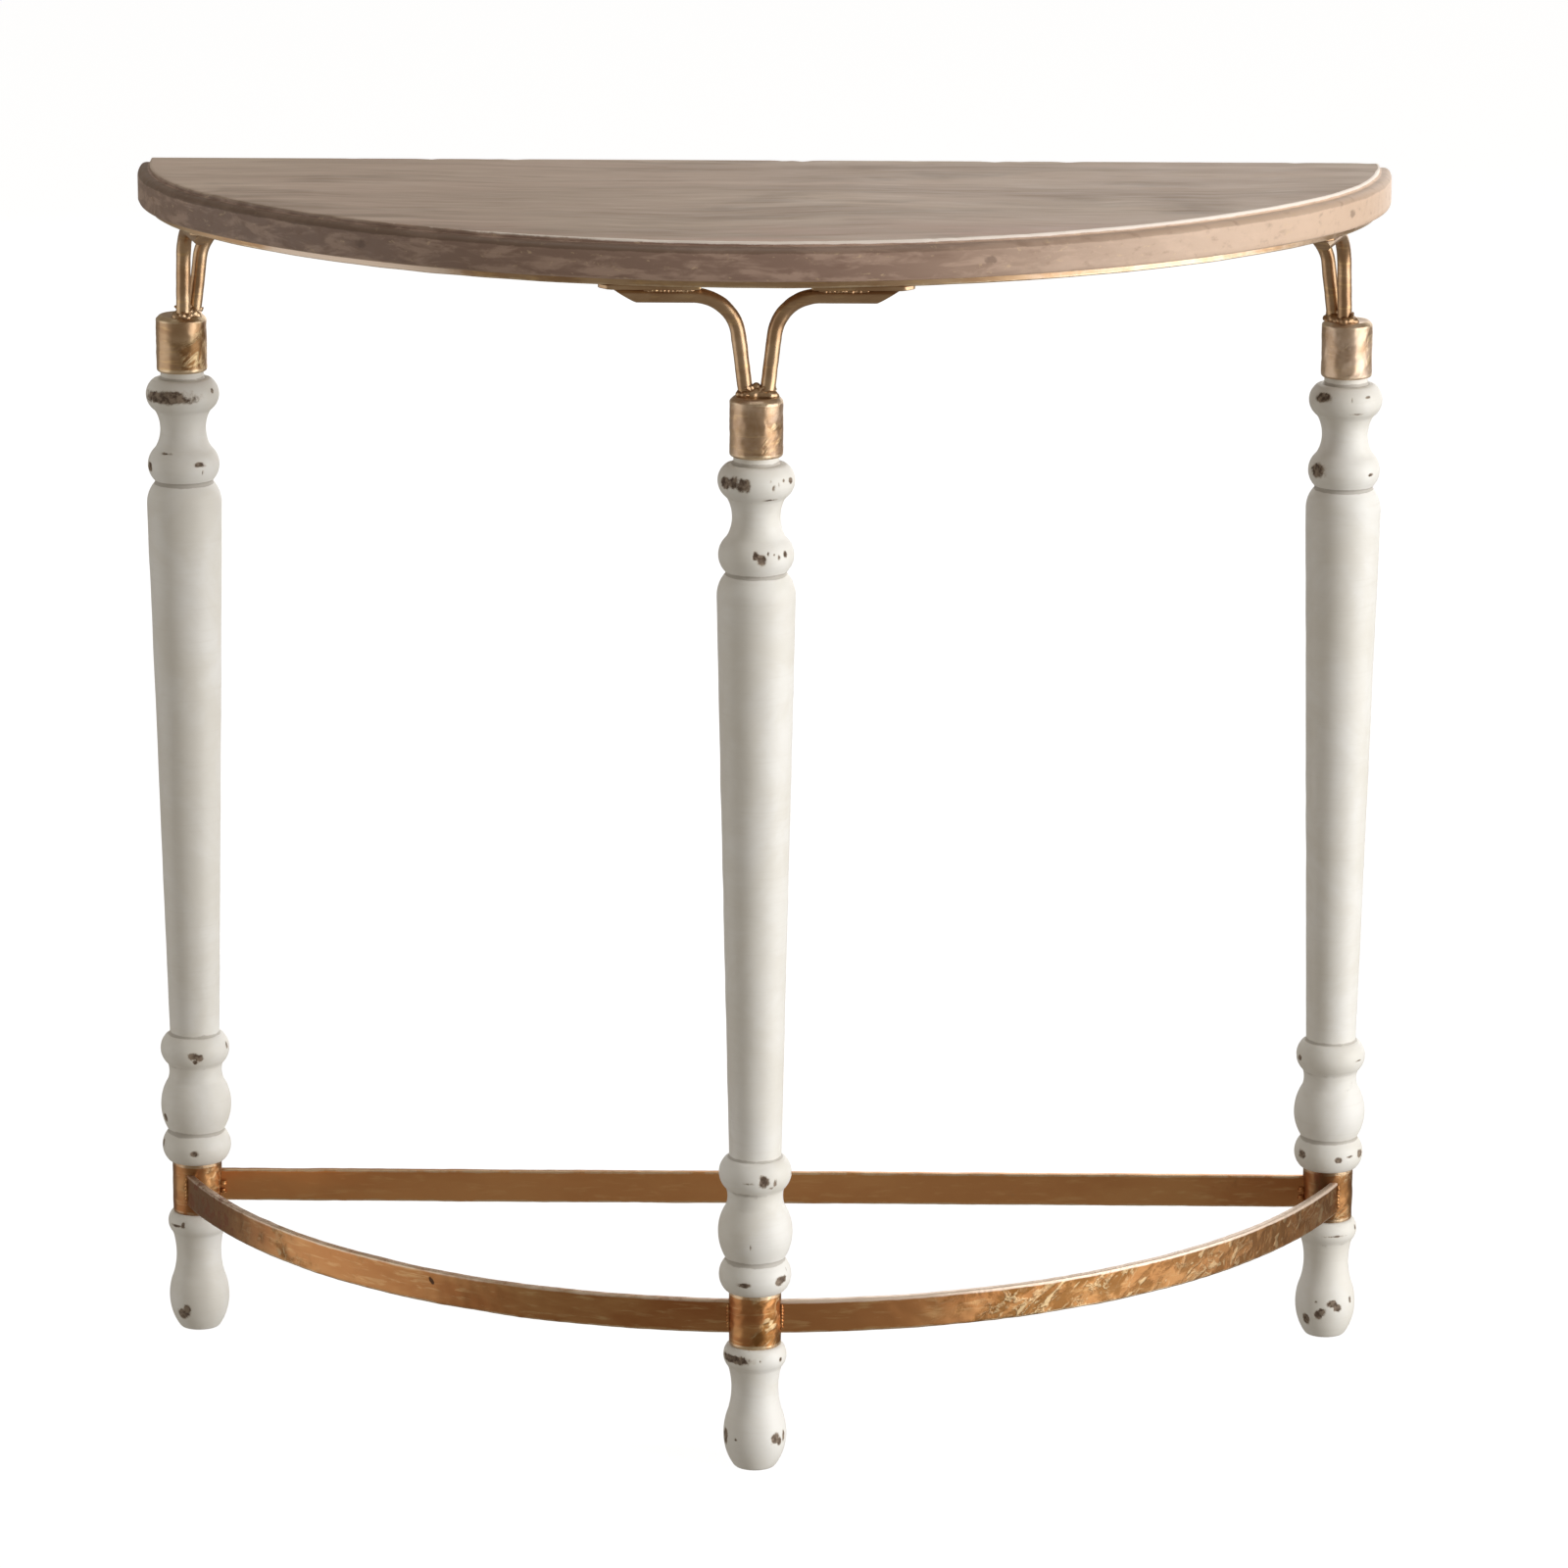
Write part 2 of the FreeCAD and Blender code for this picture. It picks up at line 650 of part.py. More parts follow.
def make_foot(leg):
    """A turned foot with a bulb on the floor, a bead under the collar and a tenon up into it."""
    body = new_body(f"foot_{leg}")
    sketch = new_sketch(body, "FootProfile", "XZ_Plane")
    profile = TurnedProfile(sketch, "0")
    profile.line("foot_base_radius")
    profile.shoulder("bulb_radius", "bulb_lower_height")
    profile.shoulder("foot_root_radius", "bulb_upper_height")
    profile.cove("foot_cove_height", "foot_cove_depth")
    profile.bead("foot_bead_height", "foot_bead_swell")
    profile.line("tenon_radius")
    profile.line("tenon_radius", "(collar_height - tenon_gap) / 2")
    profile.line("stud_radius + stud_clearance")
    profile.line("stud_radius + stud_clearance", "(tenon_gap - stud_length) / 2")
    profile.line("0")
    profile.close()
    revolve(body, sketch)
    x, y = LEG_PLACES[leg]
    place(body, x, y, "0")


def make_stud(leg):
    """The steel stud that holds a foot to its leg, half in each."""
    stud = doc.addObject("Part::Cylinder", f"joint_stud_{leg}")
    stud.Label = f"joint_stud_{leg}"
    stud.setExpression("Radius", bound("stud_radius"))
    stud.setExpression("Height", bound("stud_length"))
    x, y = LEG_PLACES[leg]
    place(stud, x, y, f"{COLLAR_MIDDLE} - stud_length / 2")
    pieces.append(stud)


def make_front_stretchers():
    """Two bent flat bars on edge, coped to the sides of the centre collar and to the fronts of the side collars.

    Both lie on one circle: its middle line runs through the centre collar's axis and passes outside the side
    collars' axes by an offset. With s from the middle to a side leg and d the legs' depth less the offset, the
    circle's centre lies (s^2 - d^2) / 2d behind the side legs.
    """
    spacing = f"({SIDE_Y} - {CENTRE_Y})"
    depth = f"({spacing} - stretcher_offset)"
    behind = f"(({SIDE_X}^2 - {depth}^2) / (2 * {depth}))"
    middle_radius = f"({behind} + {spacing})"
    sweep = f"atan2({SIDE_X}; {behind})"
    for side, turn in (("right", "0"), ("left", "180")):
        body = new_body(f"front_stretcher_{side}")
        sketch = new_sketch(body, "BarOutline", "XY_Plane")
        centre = point("0", middle_radius)
        arcs = []
        for radius in (f"({middle_radius} + bar_thickness / 2)", f"({middle_radius} - bar_thickness / 2)"):
            begin = centre - Vector(0, value(radius), 0)
            far_x = f"{radius} * sin({sweep})"
            far_y = f"{middle_radius} - {radius} * cos({sweep})"
            edge = sketch.addGeometry(arc(centre, begin, point(far_x, far_y)))
            pin(sketch, edge, 3, "0", middle_radius)
            fix(sketch, "Radius", edge, size=radius)
            sketch.addConstraint(Sketcher.Constraint("PointOnObject", edge, 1, -2))
            fix(sketch, "DistanceX", -1, 1, edge, 2, size=far_x)
            arcs.append(edge)
        outer, inner = arcs
        for end in (1, 2):
            points = [sketch.getPoint(edge, end) for edge in (outer, inner)]
            line = sketch.addGeometry(Part.LineSegment(*points))
            join(sketch, outer, end, line, 1)
            join(sketch, inner, end, line, 2)
        pad(body, sketch, "bar_height", symmetric=True)
        copes = new_sketch(body, "CollarCopes", "XY_Plane")
        draw_circles(copes, COLLAR_RADIUS, [("0", "0"), (SIDE_X, spacing)])
        pocket(body, copes)
        place(body, "0", CENTRE_Y, COLLAR_MIDDLE, turn, Vector(0, 1, 0))


def make_back_stretcher():
    """A straight flat bar on edge, coped to the two side collars."""
    body = new_body("back_stretcher")
    sketch = new_sketch(body, "BarOutline", "XY_Plane")
    draw_rectangle(sketch, SIDE_X, "(-bar_thickness / 2)", "(bar_thickness / 2)")
    pad(body, sketch, "bar_height", symmetric=True)
    copes = new_sketch(body, "CollarCopes", "XY_Plane")
    draw_circles(copes, COLLAR_RADIUS, [(f"-{SIDE_X}", "0"), (SIDE_X, "0")])
    pocket(body, copes)
    place(body, "0", SIDE_Y, COLLAR_MIDDLE)


def check_and_write():
    """Stop if anything failed to build, then write each piece to its own file."""
    doc.recompute()
    for item in doc.Objects:
        if "Invalid" in item.State or "Error" in item.State:
            raise RuntimeError(f"{item.Label} did not build: {item.State}")
    for piece in pieces:
        if piece.Shape.isNull() or not piece.Shape.isValid():
            raise RuntimeError(f"{piece.Label} has no valid shape")
    os.makedirs("parts", exist_ok=True)
    for piece in pieces:
        piece.Shape.exportStep(f"parts/{piece.Label}.step")
        print(piece.Label, "solids", len(piece.Shape.Solids), "volume", round(piece.Shape.Volume))


fill_sheet()
make_top()
make_rim()
make_screws()
leg_rods = {leg: [] for leg in LEG_PLACES}
for leg_name, arm_name, arm_direction, foot_offset in ARMS:
    make_strap(leg_name, arm_name, arm_direction)
    leg_rods[leg_name].append(make_rod(leg_name, arm_name, arm_direction, foot_offset))
for leg_name, rod_pair in leg_rods.items():
    make_weld(leg_name, rod_pair)
    make_cap(leg_name)
    make_leg(leg_name)
    make_collar(leg_name)
    make_stud(leg_name)
    make_foot(leg_name)
make_front_stretchers()
make_back_stretcher()
check_and_write()
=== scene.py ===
# %% [markdown]
# # A half-moon entryway table
#
# This table has a weathered wooden top on a gold-finished steel frame. Three turned and painted legs
# carry it, and flat bars tie them together near the floor. The measured solids are loaded first and stay
# as they are: most of them are then covered by finer surfaces that show the wear of the real table.

# %% Load the measured solids
import json
import math

import bmesh
import bpy
import numpy as np
from mathutils import Matrix, Vector

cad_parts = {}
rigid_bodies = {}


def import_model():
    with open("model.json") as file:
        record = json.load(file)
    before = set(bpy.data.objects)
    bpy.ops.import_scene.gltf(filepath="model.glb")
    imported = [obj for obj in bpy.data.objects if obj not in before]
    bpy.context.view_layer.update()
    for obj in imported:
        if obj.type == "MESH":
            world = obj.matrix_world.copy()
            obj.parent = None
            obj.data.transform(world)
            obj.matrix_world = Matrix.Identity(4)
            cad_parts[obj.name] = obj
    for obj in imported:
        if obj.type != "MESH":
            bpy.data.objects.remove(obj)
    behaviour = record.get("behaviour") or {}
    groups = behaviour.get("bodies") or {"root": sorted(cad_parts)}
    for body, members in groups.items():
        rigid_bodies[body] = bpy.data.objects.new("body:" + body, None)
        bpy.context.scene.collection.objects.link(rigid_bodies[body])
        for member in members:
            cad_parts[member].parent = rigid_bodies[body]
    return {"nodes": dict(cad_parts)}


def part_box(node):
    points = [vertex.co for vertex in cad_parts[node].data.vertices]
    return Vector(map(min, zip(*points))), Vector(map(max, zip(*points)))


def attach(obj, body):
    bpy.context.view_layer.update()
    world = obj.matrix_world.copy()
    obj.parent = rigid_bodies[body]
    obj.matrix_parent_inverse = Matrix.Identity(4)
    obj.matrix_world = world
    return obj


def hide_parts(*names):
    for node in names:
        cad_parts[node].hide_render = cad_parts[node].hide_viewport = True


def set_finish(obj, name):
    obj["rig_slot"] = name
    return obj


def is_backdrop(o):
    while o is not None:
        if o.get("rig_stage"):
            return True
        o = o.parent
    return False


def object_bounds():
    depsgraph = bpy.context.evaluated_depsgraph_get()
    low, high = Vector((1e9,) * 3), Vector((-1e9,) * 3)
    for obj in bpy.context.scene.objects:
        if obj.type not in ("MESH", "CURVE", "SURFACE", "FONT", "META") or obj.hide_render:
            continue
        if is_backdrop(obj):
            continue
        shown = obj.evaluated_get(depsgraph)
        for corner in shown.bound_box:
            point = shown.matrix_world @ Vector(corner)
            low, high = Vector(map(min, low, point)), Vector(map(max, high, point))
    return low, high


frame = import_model()
cad_low, cad_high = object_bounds()
MM = 0.001
print("solids:", len(frame["nodes"]), "size in metres:", [round(side, 4) for side in cad_high - cad_low])

# %% [markdown]
# ## The camera
#
# The photograph was taken with a long lens from a little above the top. Its place was worked out from the
# ends of the top and of the legs, so the render can be laid over the photograph. A lens of this length
# keeps upright lines nearly parallel.

# %% Place the camera
IMAGE_SIDE = 1600
FOCAL_LENGTH_IN_PIXELS = 7000
SENSOR_WIDTH = 36
CAMERA_PLACE = (0.0705, -4.314, 1.5126)
CAMERA_TURN = math.radians(-0.724)
CAMERA_TILT = math.radians(14.24)
CAMERA_ROLL = math.radians(0.149)

camera_data = bpy.data.cameras.new("table_camera")
camera_data.sensor_width = SENSOR_WIDTH
camera_data.lens = SENSOR_WIDTH * FOCAL_LENGTH_IN_PIXELS / IMAGE_SIDE
camera = bpy.data.objects.new("table_camera", camera_data)
camera.location = CAMERA_PLACE
camera_axes = (
    Matrix.Rotation(-CAMERA_TURN, 3, "Z")
    @ Matrix.Rotation(math.pi / 2 - CAMERA_TILT, 3, "X")
    @ Matrix.Rotation(CAMERA_ROLL, 3, "Z")
)
camera.rotation_euler = camera_axes.to_euler()
bpy.context.scene.collection.objects.link(camera)
bpy.context.scene.camera = camera
print("lens:", round(camera_data.lens, 1), "mm")

# %% [markdown]
# ## From grids of points to pieces
#
# Every new piece is a grid of points. A row of the grid is a ring that closes on itself, and the rows
# follow each other along the piece. Where a whole row falls on one point, the ring shrinks to a pole, and
# welding the points closes the piece there. Marks such as "edge" are numbers kept at each point, and the
# finishes read them later.

# %% Helpers for surfaces
WELDING_DISTANCE = 1e-6
SHARP_TURN = math.radians(40)


def surface(name, grid, closed=False, **marks):
    """A mesh from a grid of points: rings joined in turn, and also the last to the first where closed.

    The volume inside is the sum of the pyramids from the middle to each face. Where it is negative, the
    faces point inwards and are turned round.
    """
    rows, ring = grid.shape[:2]
    points = np.ascontiguousarray(grid, np.float64).reshape(-1, 3)
    index = np.arange(rows * ring).reshape(rows, ring)
    below = index if closed else index[:-1]
    above = np.roll(index, -1, axis=0) if closed else index[1:]
    quads = np.stack([below, np.roll(below, -1, 1), np.roll(above, -1, 1), above], -1).reshape(-1, 4)
    corner = points[quads] - points.mean(0)
    diagonal = corner[:, 2] - corner[:, 0]
    other = corner[:, 3] - corner[:, 1]
    if np.einsum("ij,ij->", corner[:, 0], np.cross(diagonal, other)) < 0:
        quads = quads[:, ::-1]

    mesh = bpy.data.meshes.new(name)
    mesh.vertices.add(len(points))
    mesh.vertices.foreach_set("co", points.ravel())
    mesh.loops.add(quads.size)
    mesh.loops.foreach_set("vertex_index", quads.ravel())
    mesh.polygons.add(len(quads))
    mesh.polygons.foreach_set("loop_start", np.arange(len(quads)) * 4)
    mesh.update(calc_edges=True)
    for mark, values in marks.items():
        layer = mesh.attributes.new(mark, "FLOAT", "POINT")
        layer.data.foreach_set("value", np.broadcast_to(values, (rows, ring)).astype(np.float32).ravel())

    welded = bmesh.new()
    welded.from_mesh(mesh)
    bmesh.ops.remove_doubles(welded, verts=welded.verts, dist=WELDING_DISTANCE)
    welded.to_mesh(mesh)
    welded.free()
    mesh.polygons.foreach_set("use_smooth", np.ones(len(mesh.polygons), bool))
    mesh.set_sharp_from_angle(angle=SHARP_TURN)
    return mesh


def add_piece(mesh, finish, *nodes):
    """Put a mesh in the scene as a piece of the table, in place of the solids that it stands for."""
    piece = bpy.data.objects.new(mesh.name, mesh)
    bpy.context.scene.collection.objects.link(piece)
    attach(piece, "root")
    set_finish(piece, finish)
    if nodes:
        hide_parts(*nodes)
    return piece


def add_surface(name, grid, finish, node, closed=False, **marks):
    """A surface with its marks, put in the scene in place of one solid."""
    return add_piece(surface(name, grid, closed, **marks), finish, node)


# %% Helpers for numbers
def stacked(*parts):
    """Points from their coordinates, which are first stretched to one shape."""
    return np.stack(np.broadcast_arrays(*parts), -1)


def lift(plan, height):
    """The points of a flat plan set at a height."""
    return np.concatenate([plan, np.broadcast_to(height, plan.shape[:-1])[..., None]], -1)


def full_turn(count, start=-np.pi):
    """Angles in even steps, once round."""
    return np.linspace(start, start + 2 * np.pi, count, endpoint=False)


def ripple(points, size, seed, waves=16):
    """A smooth random height of about -1 to 1: the sum of seeded cosine waves of about one size."""
    chance = np.random.default_rng(seed)
    heading = chance.normal(size=(waves, 3))
    heading /= np.linalg.norm(heading, axis=1, keepdims=True)
    heading *= 2 * np.pi / size * chance.uniform(0.6, 1.5, (waves, 1))
    phase = chance.uniform(0, 2 * np.pi, waves)
    return np.cos(points @ heading.T + phase).sum(-1) / np.sqrt(2 * waves)


def smooth_step(low, high, values):
    """0 below low, 1 above high, and an even curve between them."""
    part = np.clip((values - low) / (high - low), 0, 1)
    return part * part * (3 - 2 * part)


# %% [markdown]
# ## Turned profiles
#
# A lathe cuts a profile, and the piece is that profile carried round an axis. The profile is put together
# from the turner's own steps: straight runs, beads, coves and shoulders. Paint and sanding soften the
# corners between them, so the finished profile is walked in even steps and averaged over a fraction of a
# millimetre.

# %% The turner's steps
def run(widening, rise, count=12):
    """A straight step: the share along it times the change of radius and of height."""
    return np.linspace(0, 1, count)[:, None] * (widening, rise)


def bead(height, swell, count=40):
    """A circular arc over an upright chord, out by the swell: a cove where the swell is negative."""
    radius = ((height / 2) ** 2 + swell**2) / (2 * swell)
    reach = math.asin(height / 2 / abs(radius))
    angle = np.linspace(-reach, reach, count)
    return stacked(swell - radius * (1 - np.cos(angle)), height / 2 + abs(radius) * np.sin(angle))


def shoulder(widening, height, count=30):
    """Half a bead: an arc that stands upright at whichever of its ends is wider."""
    radius = (height**2 + widening**2) / (2 * abs(widening))
    reach = math.asin(height / radius)
    angle = np.linspace(-reach, 0, count) if widening > 0 else np.linspace(0, reach, count)
    base = (widening, height) if widening > 0 else (0, 0)
    return stacked(base[0] - radius * (1 - np.cos(angle)), base[1] + radius * np.sin(angle))


def chain(start, *steps):
    """Steps joined end to end from a first radius and height."""
    profile = np.array([start], float)
    for step in steps:
        profile = np.concatenate([profile, profile[-1] + step])
    return profile


def walk(profile, spacing):
    """The same line as points an even distance apart along it."""
    length = np.concatenate([[0], np.cumsum(np.linalg.norm(np.diff(profile, axis=0), axis=1))])
    stations = np.linspace(0, length[-1], max(2, round(length[-1] / spacing) + 1))
    return stacked(*(np.interp(stations, length, column) for column in profile.T))


def bell_average(values, steps, wrap=False):
    """Each value averaged with its neighbours, weighted by a bell curve that many steps wide."""
    reach = max(1, round(3 * steps))
    weights = np.exp(-0.5 * (np.arange(-reach, reach + 1) / steps) ** 2)
    padded = np.pad(values, reach, mode="wrap" if wrap else "edge")
    return np.convolve(padded, weights / weights.sum(), mode="valid")


def soften(profile, spacing, blur):
    """A profile in even steps with its corners rounded by a bell average of about the blur's width."""
    fine = walk(profile, blur / 2)
    rounded = stacked(*(bell_average(column, steps=2) for column in fine.T))
    rounded[[0, -1]] = fine[[0, -1]]
    return walk(rounded, spacing)


def turned(profile, centre, columns):
    """A profile of radius and height carried round an upright axis: 0 degrees is front, +90 right."""
    angle = full_turn(columns)
    radius, height = profile[:, :1], profile[:, 1:]
    return stacked(centre[0] + radius * np.sin(angle), centre[1] - radius * np.cos(angle), height)


# %% [markdown]
# ## The turned legs
#
# Each leg is a spindle: a bead and a vase above the collar, a long column that widens upwards, and two
# rings below the cap. Its sizes are the ones that the solids were built from. A leg could be kept as its
# plain solid, but the paint needs to know where the wood stands proud, so the surface carries marks:
# "edge" on the crests, "hollow" in the grooves and "chip" where the paint was knocked off.

# %% Leg sizes and profile
SIDES = ("left", "centre", "right")
LEG_PLACES = {}
for side in SIDES:
    leg_low, leg_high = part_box(f"leg_{side}")
    LEG_PLACES[side] = ((leg_low.x + leg_high.x) / 2, (leg_low.y + leg_high.y) / 2)
collar_low, collar_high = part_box("collar_centre")
cap_low, cap_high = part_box("leg_cap_centre")
COLLAR_RADIUS = (collar_high.x - collar_low.x) / 2
CAP_RADIUS = (cap_high.x - cap_low.x) / 2

TENON_RADIUS = 14.3 * MM
TENON_GAP = 0.5 * MM
STUD_HOLE_RADIUS = 4.1 * MM
STUD_LENGTH = 50 * MM
ROOT_RADIUS = 18.6 * MM
COLUMN_FOOT_RADIUS = 16.7 * MM
COLUMN_TOP_RADIUS = 24.8 * MM
CAP_BORE_DEPTH = 29.5 * MM
NECK_HEIGHT = 5 * MM
COLLAR_MIDDLE = (collar_low.z + collar_high.z) / 2
TENON_LENGTH = (collar_high.z - collar_low.z - TENON_GAP) / 2

leg_profile = chain(
    (0, COLLAR_MIDDLE + STUD_LENGTH / 2),
    run(STUD_HOLE_RADIUS, 0),
    run(0, (TENON_GAP - STUD_LENGTH) / 2),
    run(TENON_RADIUS - STUD_HOLE_RADIUS, 0),
    run(0, TENON_LENGTH),
    run(ROOT_RADIUS - TENON_RADIUS, 0),
    bead(21.3 * MM, 4.6 * MM),
    bead(35.7 * MM, 5.2 * MM),
    bead(11.5 * MM, -0.9 * MM),
    bead(20.5 * MM, 4.6 * MM),
    run(COLUMN_FOOT_RADIUS - ROOT_RADIUS, 0),
    run(COLUMN_TOP_RADIUS - COLUMN_FOOT_RADIUS, 366.5 * MM),
    shoulder(ROOT_RADIUS - COLUMN_TOP_RADIUS, 14.5 * MM),
    bead(22.5 * MM, 5.1 * MM),
    bead(25.5 * MM, -3.5 * MM),
    bead(21 * MM, 5.6 * MM),
    run(TENON_RADIUS - ROOT_RADIUS, 0),
    run(0, NECK_HEIGHT + CAP_BORE_DEPTH),
    run(-TENON_RADIUS, 0),
)
print("leg from", round(leg_profile[:, 1].min(), 4), "to", round(leg_profile[:, 1].max(), 4), "m")

# %% Foot sizes and profile
foot_profile = chain(
    (0, 0),
    run(13.2 * MM, 0),
    shoulder(7.1 * MM, 22 * MM),
    shoulder(-3 * MM, 15.5 * MM),
    bead(30 * MM, -2.2 * MM),
    bead(15 * MM, 3 * MM),
    run(TENON_RADIUS - 17.3 * MM, 0),
    run(0, TENON_LENGTH),
    run(STUD_HOLE_RADIUS - TENON_RADIUS, 0),
    run(0, (TENON_GAP - STUD_LENGTH) / 2),
    run(-STUD_HOLE_RADIUS, 0),
)
print("foot up to", round(foot_profile[:, 1].max(), 4), "m")

# %% [markdown]
# ## Where the paint is worn
#
# The knocks on the real legs sit on the crests of the beads and on the bulbs of the feet. Each one is
# listed under its crest by the way it faces, its height above the crest, and how wide and high it is. A
# few more are scattered by a seeded draw on the sides that the photograph doesn't show. The marks fade
# from about 1 in the middle of a knock to 0 and below outside it, and the paint's own grain later breaks
# up the border.

# %% Knocks on the paint
# Heights of the crests that are knocked.
CRESTS = {
    "upper ring": 647 * MM,
    "lower ring": 599.75 * MM,
    "ankle bead": 197 * MM,
    "vase": 157.7 * MM,
    "base bead": 129 * MM,
    "foot bead": 75 * MM,
    "bulb": 22 * MM,
}

# Facing in degrees from the front, mm above the crest, half width in degrees and half height in mm.
SEEN_KNOCKS = {
    "left": {
        "upper ring": [(-22, 1, 50, 4), (62, 4, 5, 2)],
        # The row (-30, 10, 26, 1.2) here is no knock: it is a painted shadow line in the groove above the
        # ring.
        "lower ring": [(-30, 10, 26, 1.2), (-66, 0, 9, 3), (33, 3, 11, 2), (38, -2, 3, 3)],
        "ankle bead": [(2, 0, 8, 2.6), (12, -1, 7, 2.4), (5, -4, 5, 2.2), (76, 3, 5, 3.4)],
        "vase": [(-58, -7, 6, 3)],
        "base bead": [(1, -0.6, 8, 2.2), (-72, 3, 5, 4)],
        "foot bead": [(-40, 0, 30, 1.6), (-25, 1.5, 5, 3)],
        "bulb": [(-30, -9, 13, 3.6), (-20, -5, 8, 3.4)],
    },
    "centre": {
        "upper ring": [
            (-53, 1, 11, 4.2), (-36, 2, 9, 3.6), (-19, 1, 10, 4), (-13, 3, 4, 3), (22, 3, 3, 2),
            (28, -1, 4, 4), (36, 1, 3.5, 3.4), (46, 3, 5, 1.8), (65, 2, 7, 2.2), (25, -9, 24, 1.1),
        ],
        "lower ring": [
            (0, 4, 5, 3), (9, 1, 7, 3.6), (20, 5, 3, 2.6),
            (30, 4, 3, 1.6), (38, 2, 3.5, 3.4), (52, 3, 5, 2.8),
        ],
        "ankle bead": [(-8, -1, 17, 1.3), (15, 0, 9, 3.6), (35, -1, 4.5, 4), (27, -5, 8, 1.2)],
        "vase": [(-6, -4.5, 3.5, 3.2)],
        "base bead": [(-17, -1.2, 12, 2), (44, 0, 9, 3), (54, 1, 6, 2.4), (66, 6, 3, 4)],
        "foot bead": [(-44, 1, 34, 2.7), (11, 1, 4, 1.6), (55, 0, 5, 1.9)],
        "bulb": [(-68, 0, 9, 5), (-36, 0, 6, 1.6), (42, 0.5, 10, 3.6), (52, -2, 6, 3), (66, 0, 5, 5)],
    },
    "right": {
        "upper ring": [(-43, 4.3, 15, 3), (6, 4, 3, 3), (34, 5, 9, 1.4), (15, -6, 20, 1.1)],
        "lower ring": [(-54, 2, 16, 4.6), (44, 0, 10, 1.6)],
        "ankle bead": [(-67, 0, 6, 2.4), (52, 0, 15, 1.3)],
        "base bead": [(-54, 1.4, 9, 2.7), (14, 0, 7, 2.3), (34, 1.5, 14, 1.3), (64, 1.3, 10, 2.6)],
        "foot bead": [(14, -1, 36, 1.4), (70, 2, 5, 2.8)],
        "bulb": [
            (-16, -3.6, 9, 3), (-9, -1.6, 7, 2.6), (10, 4, 10, 2.6), (21, 1, 8, 2.6),
            (-45, -8.3, 8, 4.4), (-22, 5, 4, 1.6), (54, 5, 5, 2.8),
        ],
    },
}
UNSEEN_KNOCKS = 18
UNSEEN_CRESTS = [height for crest, height in CRESTS.items() if crest != "vase"]

leg_knocks = {}
for seed, side in enumerate(SIDES, start=70):
    leg_knocks[side] = [
        (facing, CRESTS[crest] + rise * MM, half_width, half_height * MM)
        for crest, rows in SEEN_KNOCKS[side].items()
        for facing, rise, half_width, half_height in rows
    ]
    chance = np.random.default_rng(seed)
    for turn in range(UNSEEN_KNOCKS):
        height = UNSEEN_CRESTS[turn % len(UNSEEN_CRESTS)] + chance.uniform(-2, 2) * MM
        facing = chance.uniform(95, 265)
        half_width = chance.uniform(6, 22)
        leg_knocks[side].append((facing, height, half_width, chance.uniform(1.5, 3.5) * MM))
print("knocks:", {side: len(rows) for side, rows in leg_knocks.items()})

# %% Depth of the knocks
SQUARENESS = 2.6
FULL_HALF_WIDTH, FULL_HALF_HEIGHT = 5, 2 * MM
SHALLOWEST, DEEPEST = 0.7, 1.2


def knock_marks(angle, height, knocks):
    """A knock's depth less the distance from its middle in knock sizes: the largest of all, at least -1.

    The distance is a root of a sum of powers over 2, so a knock is squarer than an ellipse. Small knocks
    are shallow.
    """
    nearest = np.full(np.broadcast_shapes(angle.shape, height.shape), -1.0)
    for facing, level, half_width, half_height in knocks:
        turn = (np.degrees(angle) - facing + 180) % 360 - 180
        across, up = np.abs(turn / half_width), np.abs((height - level) / half_height)
        size = min(half_width / FULL_HALF_WIDTH, half_height / FULL_HALF_HEIGHT)
        depth = np.clip(size, SHALLOWEST, DEEPEST)
        distance = (across**SQUARENESS + up**SQUARENESS) ** (1 / SQUARENESS)
        nearest = np.maximum(nearest, depth - distance)
    return nearest


# %% Make the legs and feet
TURNING_COLUMNS = 108
TURNING_STEP = 1.1 * MM
FULLY_PROUD = 1.1 * MM
FULLY_HOLLOW = 0.6 * MM


def turned_wood(node, profile, side, seed):
    """A turned piece with marks: the profile stands proud or lies low beside blurred copies of itself."""
    line = soften(profile, TURNING_STEP, blur=0.7 * MM)
    radius = line[:, 0]
    proud = np.clip((radius - bell_average(radius, steps=6)) / FULLY_PROUD, 0, 1)[:, None]
    # The "hollow" marks lie in the grooves; the paint finish lays painted shade there.
    hollow = np.clip((bell_average(radius, steps=2) - radius) / FULLY_HOLLOW, 0, 1)[:, None]
    angle = full_turn(TURNING_COLUMNS)[None, :]
    chip = knock_marks(angle, line[:, 1:], leg_knocks[side])
    grid = turned(line, LEG_PLACES[side], TURNING_COLUMNS)
    lumps = 0.12 * MM * ripple(grid, 30 * MM, seed) - 0.25 * MM * smooth_step(0.15, 0.6, chip)
    lumps *= smooth_step(10 * MM, 14 * MM, line[:, :1])
    grid[..., 0] += lumps * np.sin(angle)
    grid[..., 1] -= lumps * np.cos(angle)
    return add_surface(f"painted_{node}", grid, "painted_wood", node, edge=proud, hollow=hollow, chip=chip)


turned_pieces = []
for step, side in enumerate(SIDES):
    turned_pieces.append(turned_wood(f"leg_{side}", leg_profile, side, seed=11 + step))
    turned_pieces.append(turned_wood(f"foot_{side}", foot_profile, side, seed=21 + step))
print("turned pieces:", [(piece.name, len(piece.data.polygons)) for piece in turned_pieces])

# %% [markdown]
# ## Caps and collars
#
# A steel cup sits on top of each leg, and a short steel tube covers the joint between leg and foot. Both
# are turned shapes too. The plain solids have knife-sharp corners, which no real edge has: a rounded
# corner catches a thin line of light. So they are carried round the leg's axis from profiles with
# softened corners, and a slow ripple makes them look hammered and filled by hand.

